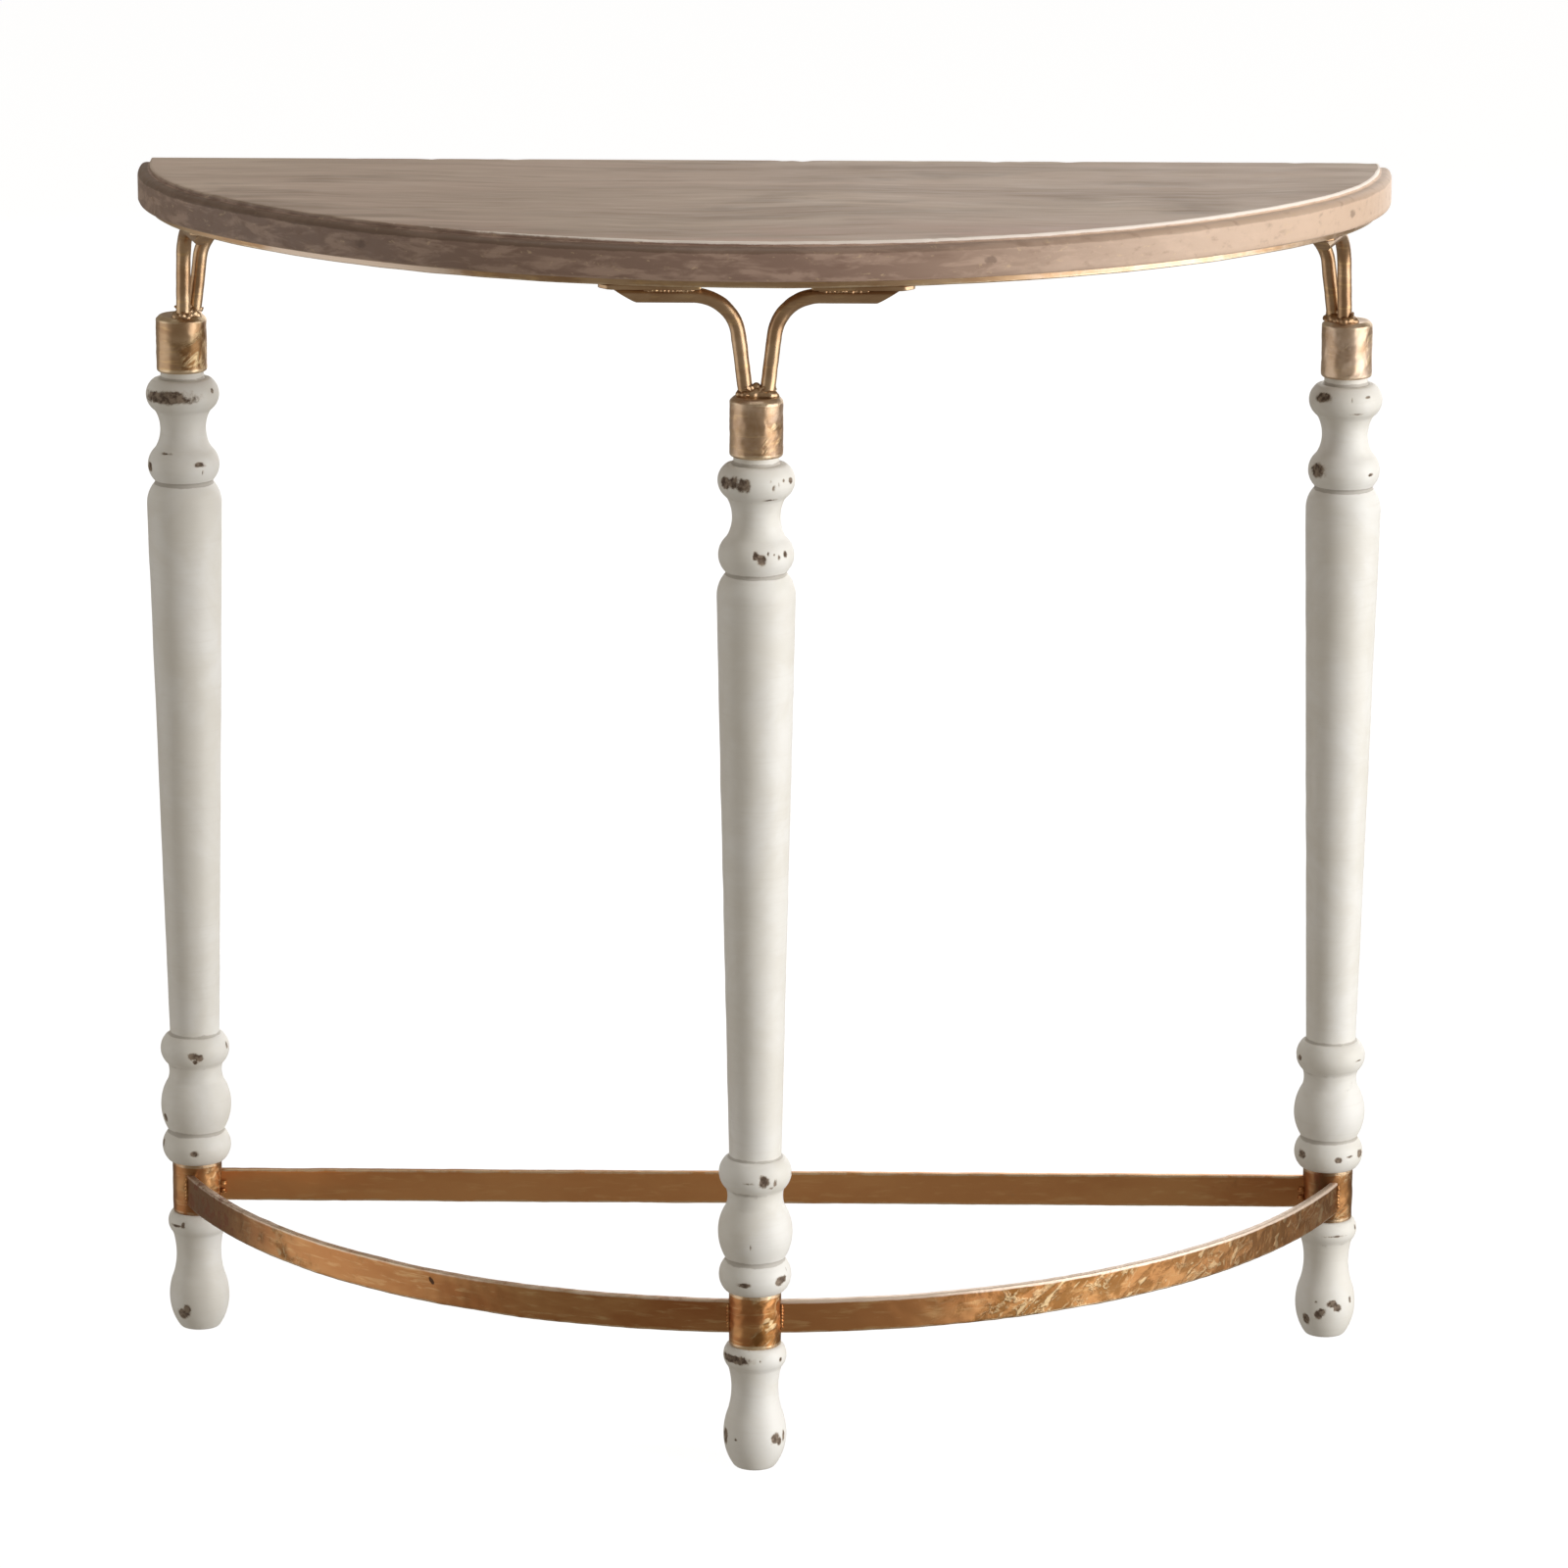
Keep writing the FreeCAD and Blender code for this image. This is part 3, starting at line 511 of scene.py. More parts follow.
# %% Make the caps and collars
BORE_RADIUS = 14.5 * MM
CAP_HEIGHT = cap_high.z - cap_low.z
COLLAR_HEIGHT = collar_high.z - collar_low.z
CAP_LIP = 1 * MM
CAP_BEVEL = 2.5 * MM
METAL_COLUMNS = 96

cap_profile = chain(
    (0, cap_low.z + CAP_BORE_DEPTH),
    run(BORE_RADIUS, 0),
    run(0, -CAP_BORE_DEPTH),
    run(CAP_RADIUS - CAP_LIP - BORE_RADIUS, 0),
    run(CAP_LIP, CAP_LIP),
    run(0, CAP_HEIGHT - CAP_LIP - CAP_BEVEL),
    run(-CAP_BEVEL, CAP_BEVEL),
    run(CAP_BEVEL - CAP_RADIUS, 0),
)
collar_profile = chain(
    (BORE_RADIUS, collar_low.z + COLLAR_HEIGHT / 2),
    run(0, -COLLAR_HEIGHT / 2),
    run(COLLAR_RADIUS - BORE_RADIUS, 0),
    run(0, COLLAR_HEIGHT),
    run(BORE_RADIUS - COLLAR_RADIUS, 0),
    run(0, -COLLAR_HEIGHT / 2),
)


# How far the welder's heat has browned a piece, and how much paler each cap's gold is, rising from left to
# right.
BROWNED = {"collar_left": 0.35, "collar_right": 0.35}
CAP_PALENESS = {"leg_cap_left": 0.22, "leg_cap_centre": 0.38, "leg_cap_right": 0.46}


def turned_metal(node, profile, side, seed, closed=False):
    """A turned steel piece whose outside ripples slightly.

    Corners are marked where the softened line turns. The leaf is more wrinkled towards the right. On the
    right collar, the coat is scorched near a facing of -20 degrees, where the bar was welded on.
    """
    line = soften(profile, spacing=0.7 * MM, blur=0.5 * MM)
    if closed:
        line = line[:-1]
    turn = np.gradient(np.unwrap(np.arctan2(*np.gradient(line, axis=0).T)))
    corner = np.clip(bell_average(np.abs(turn), steps=2) * 8, 0, 1)[:, None]
    grid = turned(line, LEG_PLACES[side], METAL_COLUMNS)
    middle = np.array([*LEG_PLACES[side], 0])
    outward = (grid - middle) * (1, 1, 0) / np.maximum(line[:, :1, None], 1 * MM)
    outside = smooth_step(15.2 * MM, 16.2 * MM, line[:, :1])
    dents = 0.16 * MM * ripple(grid, 14 * MM, seed) + 0.1 * MM * ripple(grid, 6 * MM, seed + 50)
    grid += outward * (outside * dents)[..., None]
    facing = full_turn(METAL_COLUMNS)
    leafy = smooth_step(-0.5, 0.9, np.sin(facing) + 0.6 * ripple(grid, 25 * MM, seed + 90))
    burn = (node == "collar_right") * np.exp(-(((np.degrees(facing) + 20) / 42) ** 2))
    marks = {
        "edge": corner,
        "leafy": leafy,
        "scorch": np.maximum(BROWNED.get(node, 0.0), burn),
        "polish": CAP_PALENESS.get(node, 0.0),
    }
    return add_surface(f"gilded_{node}", grid, "gilded_steel", node, closed, **marks)


cups_and_tubes = []
for step, side in enumerate(SIDES):
    cups_and_tubes.append(turned_metal(f"leg_cap_{side}", cap_profile, side, seed=31 + step))
    cups_and_tubes.append(turned_metal(f"collar_{side}", collar_profile, side, seed=41 + step, closed=True))
print("caps and collars:", [(piece.name, len(piece.data.polygons)) for piece in cups_and_tubes])

# %% [markdown]
# ## The wooden top
#
# The top is a half-moon panel. Its front is one wide arc that runs into a tighter arc at each end, and
# its edge is rounded below a thin step up to the raised field. Rings of the outline are drawn in step by
# step: up the edge, over the rounding, up the step, and then across the field to one point. The step is
# worn and nicked, which the rings follow.

# %% Outline of the top
top_low, top_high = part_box("table_top")
TOP_HALF_WIDTH = top_high.x
TOP_BACK = top_high.y
TOP_DEPTH = top_high.y - top_low.y
END_RADIUS = 240 * MM
END_X = TOP_HALF_WIDTH - END_RADIUS
FRONT_RADIUS = (END_X**2 + TOP_DEPTH**2 - END_RADIUS**2) / (2 * (TOP_DEPTH - END_RADIUS))
FRONT_CENTRE = TOP_BACK - TOP_DEPTH + FRONT_RADIUS
JOINT_ANGLE = math.atan2(END_X, FRONT_CENTRE - TOP_BACK)
END_STEPS, FRONT_STEPS, BACK_STEPS = 80, 380, 240


def front_arcs(inset, back_inset, end_steps, front_steps):
    """The curved part of the outline, drawn in by an inset: an end arc, the front arc and the other end.

    The arcs meet on the line through their centres, so an inset only shortens their radii.
    """
    end, front = END_RADIUS - inset, FRONT_RADIUS - inset
    turn = np.linspace(np.arcsin(back_inset / end), np.pi / 2 - JOINT_ANGLE, end_steps, endpoint=False)
    right = stacked(END_X + end * np.cos(turn), TOP_BACK - end * np.sin(turn))
    swing = np.linspace(np.full_like(end, JOINT_ANGLE), -JOINT_ANGLE, front_steps)
    middle = stacked(front * np.sin(swing), FRONT_CENTRE - front * np.cos(swing))
    return np.concatenate([right, middle, right[::-1] * (-1, 1)])


def half_moon(inset, back_inset=0.0):
    """The whole outline: the arcs, and the straight back between their ends."""
    arcs = front_arcs(inset, back_inset, END_STEPS, FRONT_STEPS)
    across = np.linspace(-1, 1, BACK_STEPS + 2)[1:-1] * arcs[0, 0]
    return np.concatenate([arcs, stacked(across, TOP_BACK - back_inset)])


outline = half_moon(0)
outward = (outline - half_moon(10 * MM)) / (10 * MM)
print("front radius:", round(FRONT_RADIUS, 4), "m, outline points:", len(outline))

# %% Rings of the top
EDGE_ROUND = 5 * MM
FIELD_INSET = 8 * MM
FIELD_RISE = 3 * MM
slab_top = top_high.z - FIELD_RISE
round_turn = np.linspace(0, np.pi / 2, 8)

# Inset, inset of the back, and height of each ring up the edge.
edge_rings = np.array(
    [
        (1.6 * MM, 1.2 * MM, top_low.z),
        (0.5 * MM, 0.4 * MM, top_low.z + 0.4 * MM),
        (0, 0, top_low.z + 1.5 * MM),
    ]
    + [(0, 0, height) for height in np.linspace(top_low.z + 4 * MM, slab_top - EDGE_ROUND - 1 * MM, 5)]
    + [
        (EDGE_ROUND * (1 - math.cos(turn)), 0, slab_top - EDGE_ROUND * (1 - math.sin(turn)))
        for turn in round_turn
    ]
    + [
        (6.4 * MM, 0, slab_top),
        (7.4 * MM, 0, slab_top + 0.05 * MM),
        (7.85 * MM, 0, slab_top + 0.3 * MM),
        (FIELD_INSET, 0, slab_top + 1 * MM),
        (FIELD_INSET, 0, top_high.z - 0.9 * MM),
        (8.2 * MM, 0.2 * MM, top_high.z - 0.3 * MM),
        (8.8 * MM, 0.8 * MM, top_high.z),
        (10 * MM, 2 * MM, top_high.z),
    ]
)
edge_curves = np.stack([half_moon(inset, back_inset) for inset, back_inset, _ in edge_rings])
heights = np.repeat(edge_rings[:, 2:], len(outline), axis=1)

# Along the flat back, the rings share out the height evenly a little way in from the ends.
back_share = smooth_step(0, 0.06, 1 - np.abs(outline[-BACK_STEPS:, 0]) / TOP_HALF_WIDTH)
even_heights = np.linspace(top_low.z, top_high.z, len(edge_rings))[:, None]
heights[2:-3, -BACK_STEPS:] += back_share * (even_heights - edge_rings[:, 2:])[2:-3]
print("rings up the edge:", len(edge_rings))

# %% Wear of the edge
NICKS = 46
chance = np.random.default_rng(5)
along = np.concatenate([[0], np.cumsum(np.linalg.norm(np.diff(outline, axis=0), axis=1))])
nick_place = chance.uniform(0, along[-1], NICKS)
nick_size = chance.uniform(1.5, 6, NICKS) * MM
nick_depth = chance.uniform(0.2, 0.9, NICKS) * MM
nicks = (nick_depth * np.exp(-(((along[:, None] - nick_place) / nick_size) ** 2))).sum(-1)

flat_outline = lift(outline, 0)
wander = 0.35 * MM * ripple(flat_outline, 35 * MM, seed=6)
wander += 0.15 * MM * ripple(flat_outline, 9 * MM, seed=7)
lip = np.exp(-((edge_rings[:, 2:] - top_high.z) / (1.3 * MM)) ** 2)
lip *= smooth_step(7 * MM, 8 * MM, edge_rings[:, :1])
sunk = 0.15 * (1 - lip) * np.maximum(wander, 0)
edge_curves += outward * (lip * (wander - nicks) - sunk)[..., None]
heights -= 0.5 * lip * nicks
edge_grid = lift(edge_curves, heights)
print("deepest nick:", round(nicks.max() / MM, 2), "mm")

# %% Field and underside of the top
FIELD_RINGS = 40
UNDERSIDE_RINGS = 12
shares = (1 - np.linspace(0, 1, FIELD_RINGS + 1)[1:])[:, None, None]
pole = np.array([0, TOP_BACK - 0.45 * TOP_DEPTH])
field_curves = pole + (edge_grid[-1, :, :2] - pole) * shares
field = lift(field_curves, top_high.z)
sag = 0.12 * MM * (1 + ripple(field * (1, 3, 0), 70 * MM, seed=8))
field[..., 2] -= sag * smooth_step(0, 0.1, 1 - shares[..., 0])
low_shares = np.linspace(0, 1, UNDERSIDE_RINGS + 1)[:-1][:, None, None]
low_curves = pole + (edge_grid[0, :, :2] - pole) * low_shares
underside = lift(low_curves, top_low.z)
top_grid = np.concatenate([underside, edge_grid, field])
print("rings of the top:", len(top_grid))

# %% Mark and make the top
KNOT_PLACES = (-248 * MM, 144 * MM, 379 * MM)
KNOT_SIZE = 9 * MM
knot = np.zeros(top_grid.shape[:2])
front_columns = outline[: 2 * END_STEPS + FRONT_STEPS]
for knot_x in KNOT_PLACES:
    nearest = front_columns[np.argmin(np.abs(front_columns[:, 0] - knot_x))]
    middle = np.array([*nearest, (top_low.z + slab_top) / 2])
    knot = np.maximum(knot, 1 - np.linalg.norm((top_grid - middle) * (1, 1, 1.5), axis=-1) / KNOT_SIZE)


def edge_only(values):
    """A mark on the rings of the edge, and 0 on those of the underside and the field."""
    rings = np.broadcast_to(values, edge_grid.shape[:2])
    return np.pad(rings, ((len(underside), len(field)), (0, 0)))


ring_inset, ring_height = edge_rings[:, :1], edge_rings[:, 2:]
band = smooth_step(0, 1 * MM, ring_height - top_low.z)
band = band * smooth_step(-0.6 * MM, -1.4 * MM, ring_height - top_high.z)
# The pale step: partly rubbed wear, partly a painted highlight, strongest from the middle to the right.
rubbing_and_highlight = smooth_step(-0.3, 0.1, outline[:, 0])
step_wear_and_highlight = np.exp(-((ring_height - top_high.z) / (2 * MM)) ** 2)
step_wear_and_highlight *= smooth_step(7 * MM, 8 * MM, ring_inset) * (ring_inset < 9 * MM)
# Painted shade on the rounded shoulder of the edge.
painted_shoulder_shade = np.exp(-(((ring_height - slab_top + 1.5 * MM) / (2.6 * MM)) ** 2)) * (ring_inset < 7 * MM)
top_marks = {
    "edge": edge_only(step_wear_and_highlight * (0.25 + 0.75 * rubbing_and_highlight)),
    "band": edge_only(band),
    "shoulder": edge_only(painted_shoulder_shade),
    "knot": knot,
}
table_top = add_surface("weathered_top", top_grid, "weathered_wood", "table_top", **top_marks)
print("top faces:", len(table_top.data.polygons))

# %% [markdown]
# ## The steel rim
#
# A flat bar, laid flat and bent to the curve, is screwed under the wood. Only its outer edge shows from
# the front, as a thin gold line. A section with rounded corners is carried along the curve. Every point
# of the section keeps its own distance from the wood's edge, so the bar follows the same arcs, and it
# meets the straight bar at the back in a seam.

# %% Rounded section of a flat bar
CORNER_STEPS = 5


def bar_section(width, height, rounding, wide_steps, high_steps):
    """A rectangle with quarter-circle corners: points round it, and a mark of 1 on the corners."""
    quarter_turn = np.linspace(0, np.pi / 2, CORNER_STEPS)
    half = np.array([width / 2 - rounding, height / 2 - rounding])
    corners = []
    for quarter, sign in enumerate(((1, 1), (-1, 1), (-1, -1), (1, -1))):
        angle = quarter_turn + quarter * np.pi / 2
        corners.append(half * sign + rounding * stacked(np.cos(angle), np.sin(angle)))
    points, marks = [], []
    for quarter, corner in enumerate(corners):
        steps = (wide_steps, high_steps)[quarter % 2]
        way = corners[(quarter + 1) % 4][0] - corner[-1]
        points += [corner, corner[-1] + np.linspace(0, 1, steps + 2)[1:-1, None] * way]
        marks += [np.ones(CORNER_STEPS), np.zeros(steps)]
    return np.concatenate(points), np.concatenate(marks)


def with_ends(grid):
    """The rings with one more at each end, shrunk to the middle, which closes the bar."""
    first, last = (np.repeat(row.mean(0)[None, None], grid.shape[1], axis=1) for row in (grid[0], grid[-1]))
    return np.concatenate([first, grid, last])


def on_rings(values, grid):
    """A mark on every ring of a bar, and 0 on the two that close its ends."""
    return np.pad(np.broadcast_to(values, grid.shape[:2]), ((1, 1), (0, 0)))


# %% Make the curved part of the rim
RIM_END_STEPS, RIM_FRONT_STEPS, RIM_BACK_STEPS = 60, 300, 220
rim_low, rim_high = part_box("top_rim_arc")
bar_low, bar_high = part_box("top_rim_back_bar")
RIM_INSET = TOP_BACK - bar_high.y
RIM_WIDTH = bar_high.y - bar_low.y
RIM_THICKNESS = rim_high.z - rim_low.z
SEAM = bar_low.y
rim_section, rim_corner = bar_section(
    RIM_WIDTH, RIM_THICKNESS, rounding=0.9 * MM, wide_steps=6, high_steps=1
)
rim_inset = RIM_INSET + RIM_WIDTH / 2 - rim_section[:, 0]
rim_level = (rim_low.z + rim_high.z) / 2 + rim_section[:, 1]

rim_plan = front_arcs(rim_inset, TOP_BACK - SEAM, RIM_END_STEPS, RIM_FRONT_STEPS)
rim_grid = lift(rim_plan, rim_level)
rim_grid[..., 2] -= 0.12 * MM * ripple(rim_grid, 45 * MM, seed=61) * (rim_section[:, 1] < 0)
rim_across = with_ends(rim_grid)[..., 0]
# The rim is painted paler on a stretch at the left, and towards the right end as a painted highlight.
paler_left_stretch = smooth_step(-0.34, -0.29, rim_across) * (1 - smooth_step(-0.21, -0.15, rim_across))
rim_polish_and_sheen = 0.75 * paler_left_stretch + 0.4 * smooth_step(0.08, 0.2, rim_across)
rim_marks = {"edge": on_rings(rim_corner, rim_grid), "polish": rim_polish_and_sheen}
rim_arc = add_surface("gilded_rim_arc", with_ends(rim_grid), "gilded_steel", "top_rim_arc", **rim_marks)
print("rim width:", round(RIM_WIDTH, 4), "m, faces:", len(rim_arc.data.polygons))

# %% Make the straight part of the rim
bar_y = (bar_low.y + bar_high.y) / 2 + rim_section[:, 0]
bar_reach = END_X + np.sqrt((END_RADIUS - RIM_INSET) ** 2 - (TOP_BACK - bar_y) ** 2)
bar_across = np.linspace(-1, 1, RIM_BACK_STEPS)[:, None] * bar_reach
bar_grid = stacked(bar_across, bar_y, rim_level)
bar_edge = on_rings(rim_corner, bar_grid)
rim_back = add_surface(
    "gilded_rim_back", with_ends(bar_grid), "gilded_steel", "top_rim_back_bar", edge=bar_edge
)
print("back of the rim, faces:", len(rim_back.data.polygons))

# %% [markdown]
# ## Straps and bent rods
#
# Two bent rods stand on every cap and run out under the rim, and a short flat strap lies between each rod
# and the rim. A rod is a circle carried along a line: a leaning riser, a quarter bend and a level run.
# The run ends in a slanting cut, so each line along the rod stops where it meets the cut. The rods' sizes
# are those of the solids.

# %% Places of the bracket arms
EDGE_TO_LEG = RIM_INSET + RIM_WIDTH / 2
STRAP_START = 34 * MM
STRAP_LENGTH = 64 * MM
STRAP_WIDTH = 20 * MM
STRAP_CORNER = 6 * MM
ROD_RADIUS = 4.75 * MM
ROD_BEND = 28 * MM
ROD_LEAN = math.radians(7)
ROD_ARM = 90 * MM
ROD_TIP = 16 * MM
ROD_STEP = 1.2 * MM
ROD_COLUMNS = 32
BEND_STEPS = 40
TIP_SHARE = 0.86
strap_low, strap_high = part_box("strap_centre_left")
ROD_LEVEL = strap_low.z - cap_high.z - ROD_RADIUS

end_line = END_RADIUS - EDGE_TO_LEG
strap_middle = STRAP_START + STRAP_LENGTH / 2
strap_swing = math.asin(EDGE_TO_LEG / end_line) + math.asin(strap_middle / (2 * end_line))
CENTRE_FOOT = ROD_RADIUS + 1.65 * MM
SIDE_FOOT = (ROD_RADIUS + 0.425 * MM) / math.sin((math.pi / 2 - strap_swing) / 2)
ARMS = {
    "left_inner": ("left", 0, SIDE_FOOT),
    "left_front": ("left", -math.pi / 2 + strap_swing, SIDE_FOOT),
    "centre_left": ("centre", math.pi, CENTRE_FOOT),
    "centre_right": ("centre", 0, CENTRE_FOOT),
    "right_front": ("right", -math.pi / 2 - strap_swing, SIDE_FOOT),
    "right_inner": ("right", math.pi, SIDE_FOOT),
}


def from_arm(points, arm):
    """Points along, across and above an arm, turned about its leg's axis and set at the top of the cap."""
    side, direction, _ = ARMS[arm]
    cos, sin = math.cos(direction), math.sin(direction)
    ahead, across, above = np.moveaxis(np.asarray(points), -1, 0)
    x, y = LEG_PLACES[side]
    return stacked(x + ahead * cos - across * sin, y + ahead * sin + across * cos, cap_high.z + above)


print("swing of the side straps:", round(math.degrees(strap_swing), 2), "degrees")

# %% Make the rods
def rod_line(foot):
    """A riser that leans out from the foot, a bend of a quarter turn less the lean, and a level run."""
    bend_height = ROD_LEVEL - ROD_BEND * (1 - math.sin(ROD_LEAN))
    bend_start = np.array([foot + bend_height * math.tan(ROD_LEAN), bend_height])
    centre = bend_start + ROD_BEND * np.array([math.cos(ROD_LEAN), -math.sin(ROD_LEAN)])
    angle = np.linspace(math.pi - ROD_LEAN, math.pi / 2, BEND_STEPS)
    bend = centre + ROD_BEND * stacked(np.cos(angle), np.sin(angle))
    return walk(np.concatenate([[(foot, 0)], bend, [(ROD_ARM, ROD_LEVEL)]]), ROD_STEP), centre[0]


def rod_piece(arm, seed):
    """A circle carried along the rod's line, whose level run stops point by point at the slanting cut."""
    line, run_start = rod_line(ARMS[arm][2])
    ahead = np.gradient(line, axis=0)
    ahead /= np.linalg.norm(ahead, axis=1, keepdims=True)
    angle = full_turn(ROD_COLUMNS, start=0)
    up, across = np.cos(angle), np.sin(angle)
    grid = stacked(
        line[:, :1] - ahead[:, 1:] * up * ROD_RADIUS,
        across * ROD_RADIUS,
        line[:, 1:] + ahead[:, :1] * up * ROD_RADIUS,
    )
    cut = ROD_ARM - ROD_TIP * (1 - up) / 2
    share = np.clip((line[:, :1] - run_start) / (ROD_ARM - run_start), 0, 1)
    grid[..., 0] -= share * (ROD_ARM - cut)
    swell = 1 + 0.025 * ripple(grid, 22 * MM, seed) + 0.015 * ripple(grid, 8 * MM, seed + 1)
    middle = grid.mean(1, keepdims=True)
    grid = middle + (grid - middle) * np.where(share[..., None] > 0, 1, swell[..., None])
    tip_middle = grid[-1:].mean(1, keepdims=True)
    bevel = tip_middle + (grid[-1:] - tip_middle) * TIP_SHARE
    grid = with_ends(np.concatenate([grid, bevel]))
    tip = np.zeros(len(grid))
    tip[-3:] = (0.7, 0.4, 0)
    placed = from_arm(grid, arm)
    return add_surface(f"gilded_rod_{arm}", placed, "gilded_steel", f"bracket_rod_{arm}", edge=tip[:, None])


rods = [rod_piece(arm, seed=100 + 3 * step) for step, arm in enumerate(ARMS)]
print("rods:", len(rods), "faces each:", len(rods[0].data.polygons))

# %% Make the straps
half_length, half_width = STRAP_LENGTH / 2, STRAP_WIDTH / 2
strap_corners = np.array([
    (-half_length, -half_width),
    (half_length - STRAP_CORNER, -half_width),
    (half_length, STRAP_CORNER - half_width),
    (half_length, half_width - STRAP_CORNER),
    (half_length - STRAP_CORNER, half_width),
    (-half_length, half_width),
    (-half_length, -half_width),
])
strap_outline = walk(strap_corners, 1 * MM)[:-1]
strap_outline = stacked(*(bell_average(column, steps=1.2, wrap=True) for column in strap_outline.T))
strap_thickness = strap_high.z - strap_low.z

# Inset and height of each ring of a strap, from the middle of its underside to that of its upper side.
strap_rings = np.array(
    [(share * half_width, 0) for share in (1, 0.6, 0.3, 0.12, 0.06)]
    + [(0.2 * MM, 0.15 * MM), (0, 0.6 * MM), (0, strap_thickness - 0.4 * MM), (0.3 * MM, strap_thickness)]
    + [(share * half_width, strap_thickness) for share in (0.3, 1)]
)
strap_edge = 0.6 * np.exp(-(strap_rings[:, :1] / (0.7 * MM)) ** 2)


def strap_piece(arm, seed):
    """Rings of the strap's outline, each drawn in by its inset along and across, from below to above."""
    inset, rise = strap_rings[:, :1], strap_rings[:, 1:]
    plan = strap_outline * (1 - inset[..., None] / half_width) + (strap_middle, 0)
    grid = lift(plan, strap_low.z - cap_high.z + rise)
    below = (rise < strap_thickness / 2) * (inset < half_width)
    grid[..., 2] += 0.1 * MM * below * ripple(grid, 9 * MM, seed)
    placed = from_arm(grid, arm)
    return add_surface(f"gilded_strap_{arm}", placed, "gilded_steel", f"strap_{arm}", edge=strap_edge)


straps = [strap_piece(arm, seed=200 + step) for step, arm in enumerate(ARMS)]
print("straps:", len(straps))

# %% [markdown]
# ## Welds
#
# The rods are welded to the caps in a rough lump, and beads of weld run beside the straps and down the
# collars. A lump is worked out from its middle: in each direction it reaches as far as the furthest of a
# heap of drops, blended by the root of a sum of powers, so that the drops flow together. A bead is a
# circle carried along a short line, whose radius swells with each pulse of the welder's hand.

# %% Lumps on the caps
LUMP_ROWS, LUMP_COLUMNS = 48, 80
FLOWING_TOGETHER = 7


def weld_lump(name, centre, drops, floor):
    """In each direction, the root of the summed powers of the drops' far sides, kept above a flat floor."""
    polar = np.linspace(0, np.pi, LUMP_ROWS)[:, None]
    around = full_turn(LUMP_COLUMNS, start=0)
    way = stacked(np.sin(polar) * np.cos(around), np.sin(polar) * np.sin(around), np.cos(polar))
    middle, size = drops[:, :3], drops[:, 3]
    along_way = way @ middle.T
    inside = along_way**2 - (middle**2).sum(-1) + size**2
    far = np.where(inside > 0, along_way + np.sqrt(np.maximum(inside, 0)), 0)
    reach = (np.maximum(far, 0) ** FLOWING_TOGETHER).sum(-1) ** (1 / FLOWING_TOGETHER)
    grid = way * reach[..., None]
    grid[..., 2] = np.maximum(grid[..., 2], floor)
    # Pale rubbed gold over the whole lump, fully on its top: partly wear, partly a painted highlight on the
    # drips.
    high = np.maximum(0.55, smooth_step(4 * MM, 9 * MM, grid[..., 2]))
    return surface(name, grid + centre, edge=high)


def drops_round(foot, chance, count, from_rod, rise, size):
    """Drops strewn round a rod's foot, within limits in mm: their places, heights and radii."""
    turn = chance.uniform(0, 2 * np.pi, count)
    ring = ROD_RADIUS + chance.uniform(*from_rod, count) * MM
    heights = chance.uniform(*rise, count) * MM
    radii = chance.uniform(*size, count) * MM
    return [*stacked(foot[0] + ring * np.cos(turn), foot[1] + ring * np.sin(turn), heights, radii)]


cap_welds = []
for step, side in enumerate(SIDES):
    chance = np.random.default_rng(300 + step)
    feet = [
        (foot * math.cos(direction), foot * math.sin(direction))
        for leg, direction, foot in ARMS.values()
        if leg == side
    ]
    middle = np.mean(feet, axis=0)
    beside = middle + chance.uniform(-2, 2, 2) * MM
    drops = [(*middle, 0, 5.5 * MM), (*middle, 6 * MM, 2.6 * MM), (*beside, 3 * MM, 3 * MM)]
    for foot in feet:
        drops += drops_round(foot, chance, 9, from_rod=(-0.7, 0.6), rise=(-0.4, 2.6), size=(1.5, 3.2))
        drops.append((*foot, 0.5 * MM, ROD_RADIUS + 0.4 * MM))
        drops += drops_round(foot, chance, 7, from_rod=(-0.4, 0.3), rise=(2.5, 6.5), size=(0.7, 1.5))
    drops = np.array(drops) - (*middle, 0, 0)
    centre = (*(np.array(LEG_PLACES[side]) + middle), cap_high.z)
    lump = weld_lump(f"gilded_weld_{side}", centre, drops, floor=-0.3 * MM)
    cap_welds.append(add_piece(lump, "gilded_steel", f"bracket_weld_{side}"))
print("welds on the caps:", [piece.name for piece in cap_welds])

# %% [markdown]
# ## The stretchers
#
# Flat bars on edge tie the feet of the legs together. Two are bent to one arc in front, from the sides of
# the centre collar to the fronts of the side collars, and one runs straight across the back. A rounded
# section is carried along each line. Every point of the section stops at the round of the collar, a
# little inside its wall, and a slow ripple keeps the long faces from looking machined.

# %% Sizes of the stretchers
BAR_THICKNESS = 5 * MM
bar_box_low, bar_box_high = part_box("back_stretcher")
BAR_HEIGHT = bar_box_high.z - bar_box_low.z
STRETCHER_OFFSET = 8.6 * MM
STRETCHER_STEPS = 420
COLLAR_SINK = 1.2 * MM
bar_points, bar_corner = bar_section(
    BAR_THICKNESS, BAR_HEIGHT, rounding=1.1 * MM, wide_steps=1, high_steps=12
)

side_x, side_y = LEG_PLACES["right"]
centre_y = LEG_PLACES["centre"][1]
spacing = side_y - centre_y
arc_depth = spacing - STRETCHER_OFFSET
behind = (side_x**2 - arc_depth**2) / (2 * arc_depth)
STRETCHER_RADIUS = behind + spacing
STRETCHER_CENTRE = centre_y + STRETCHER_RADIUS
SIDE_ANGLE = math.atan2(side_x, behind)
SIDE_DISTANCE = math.hypot(side_x, behind)


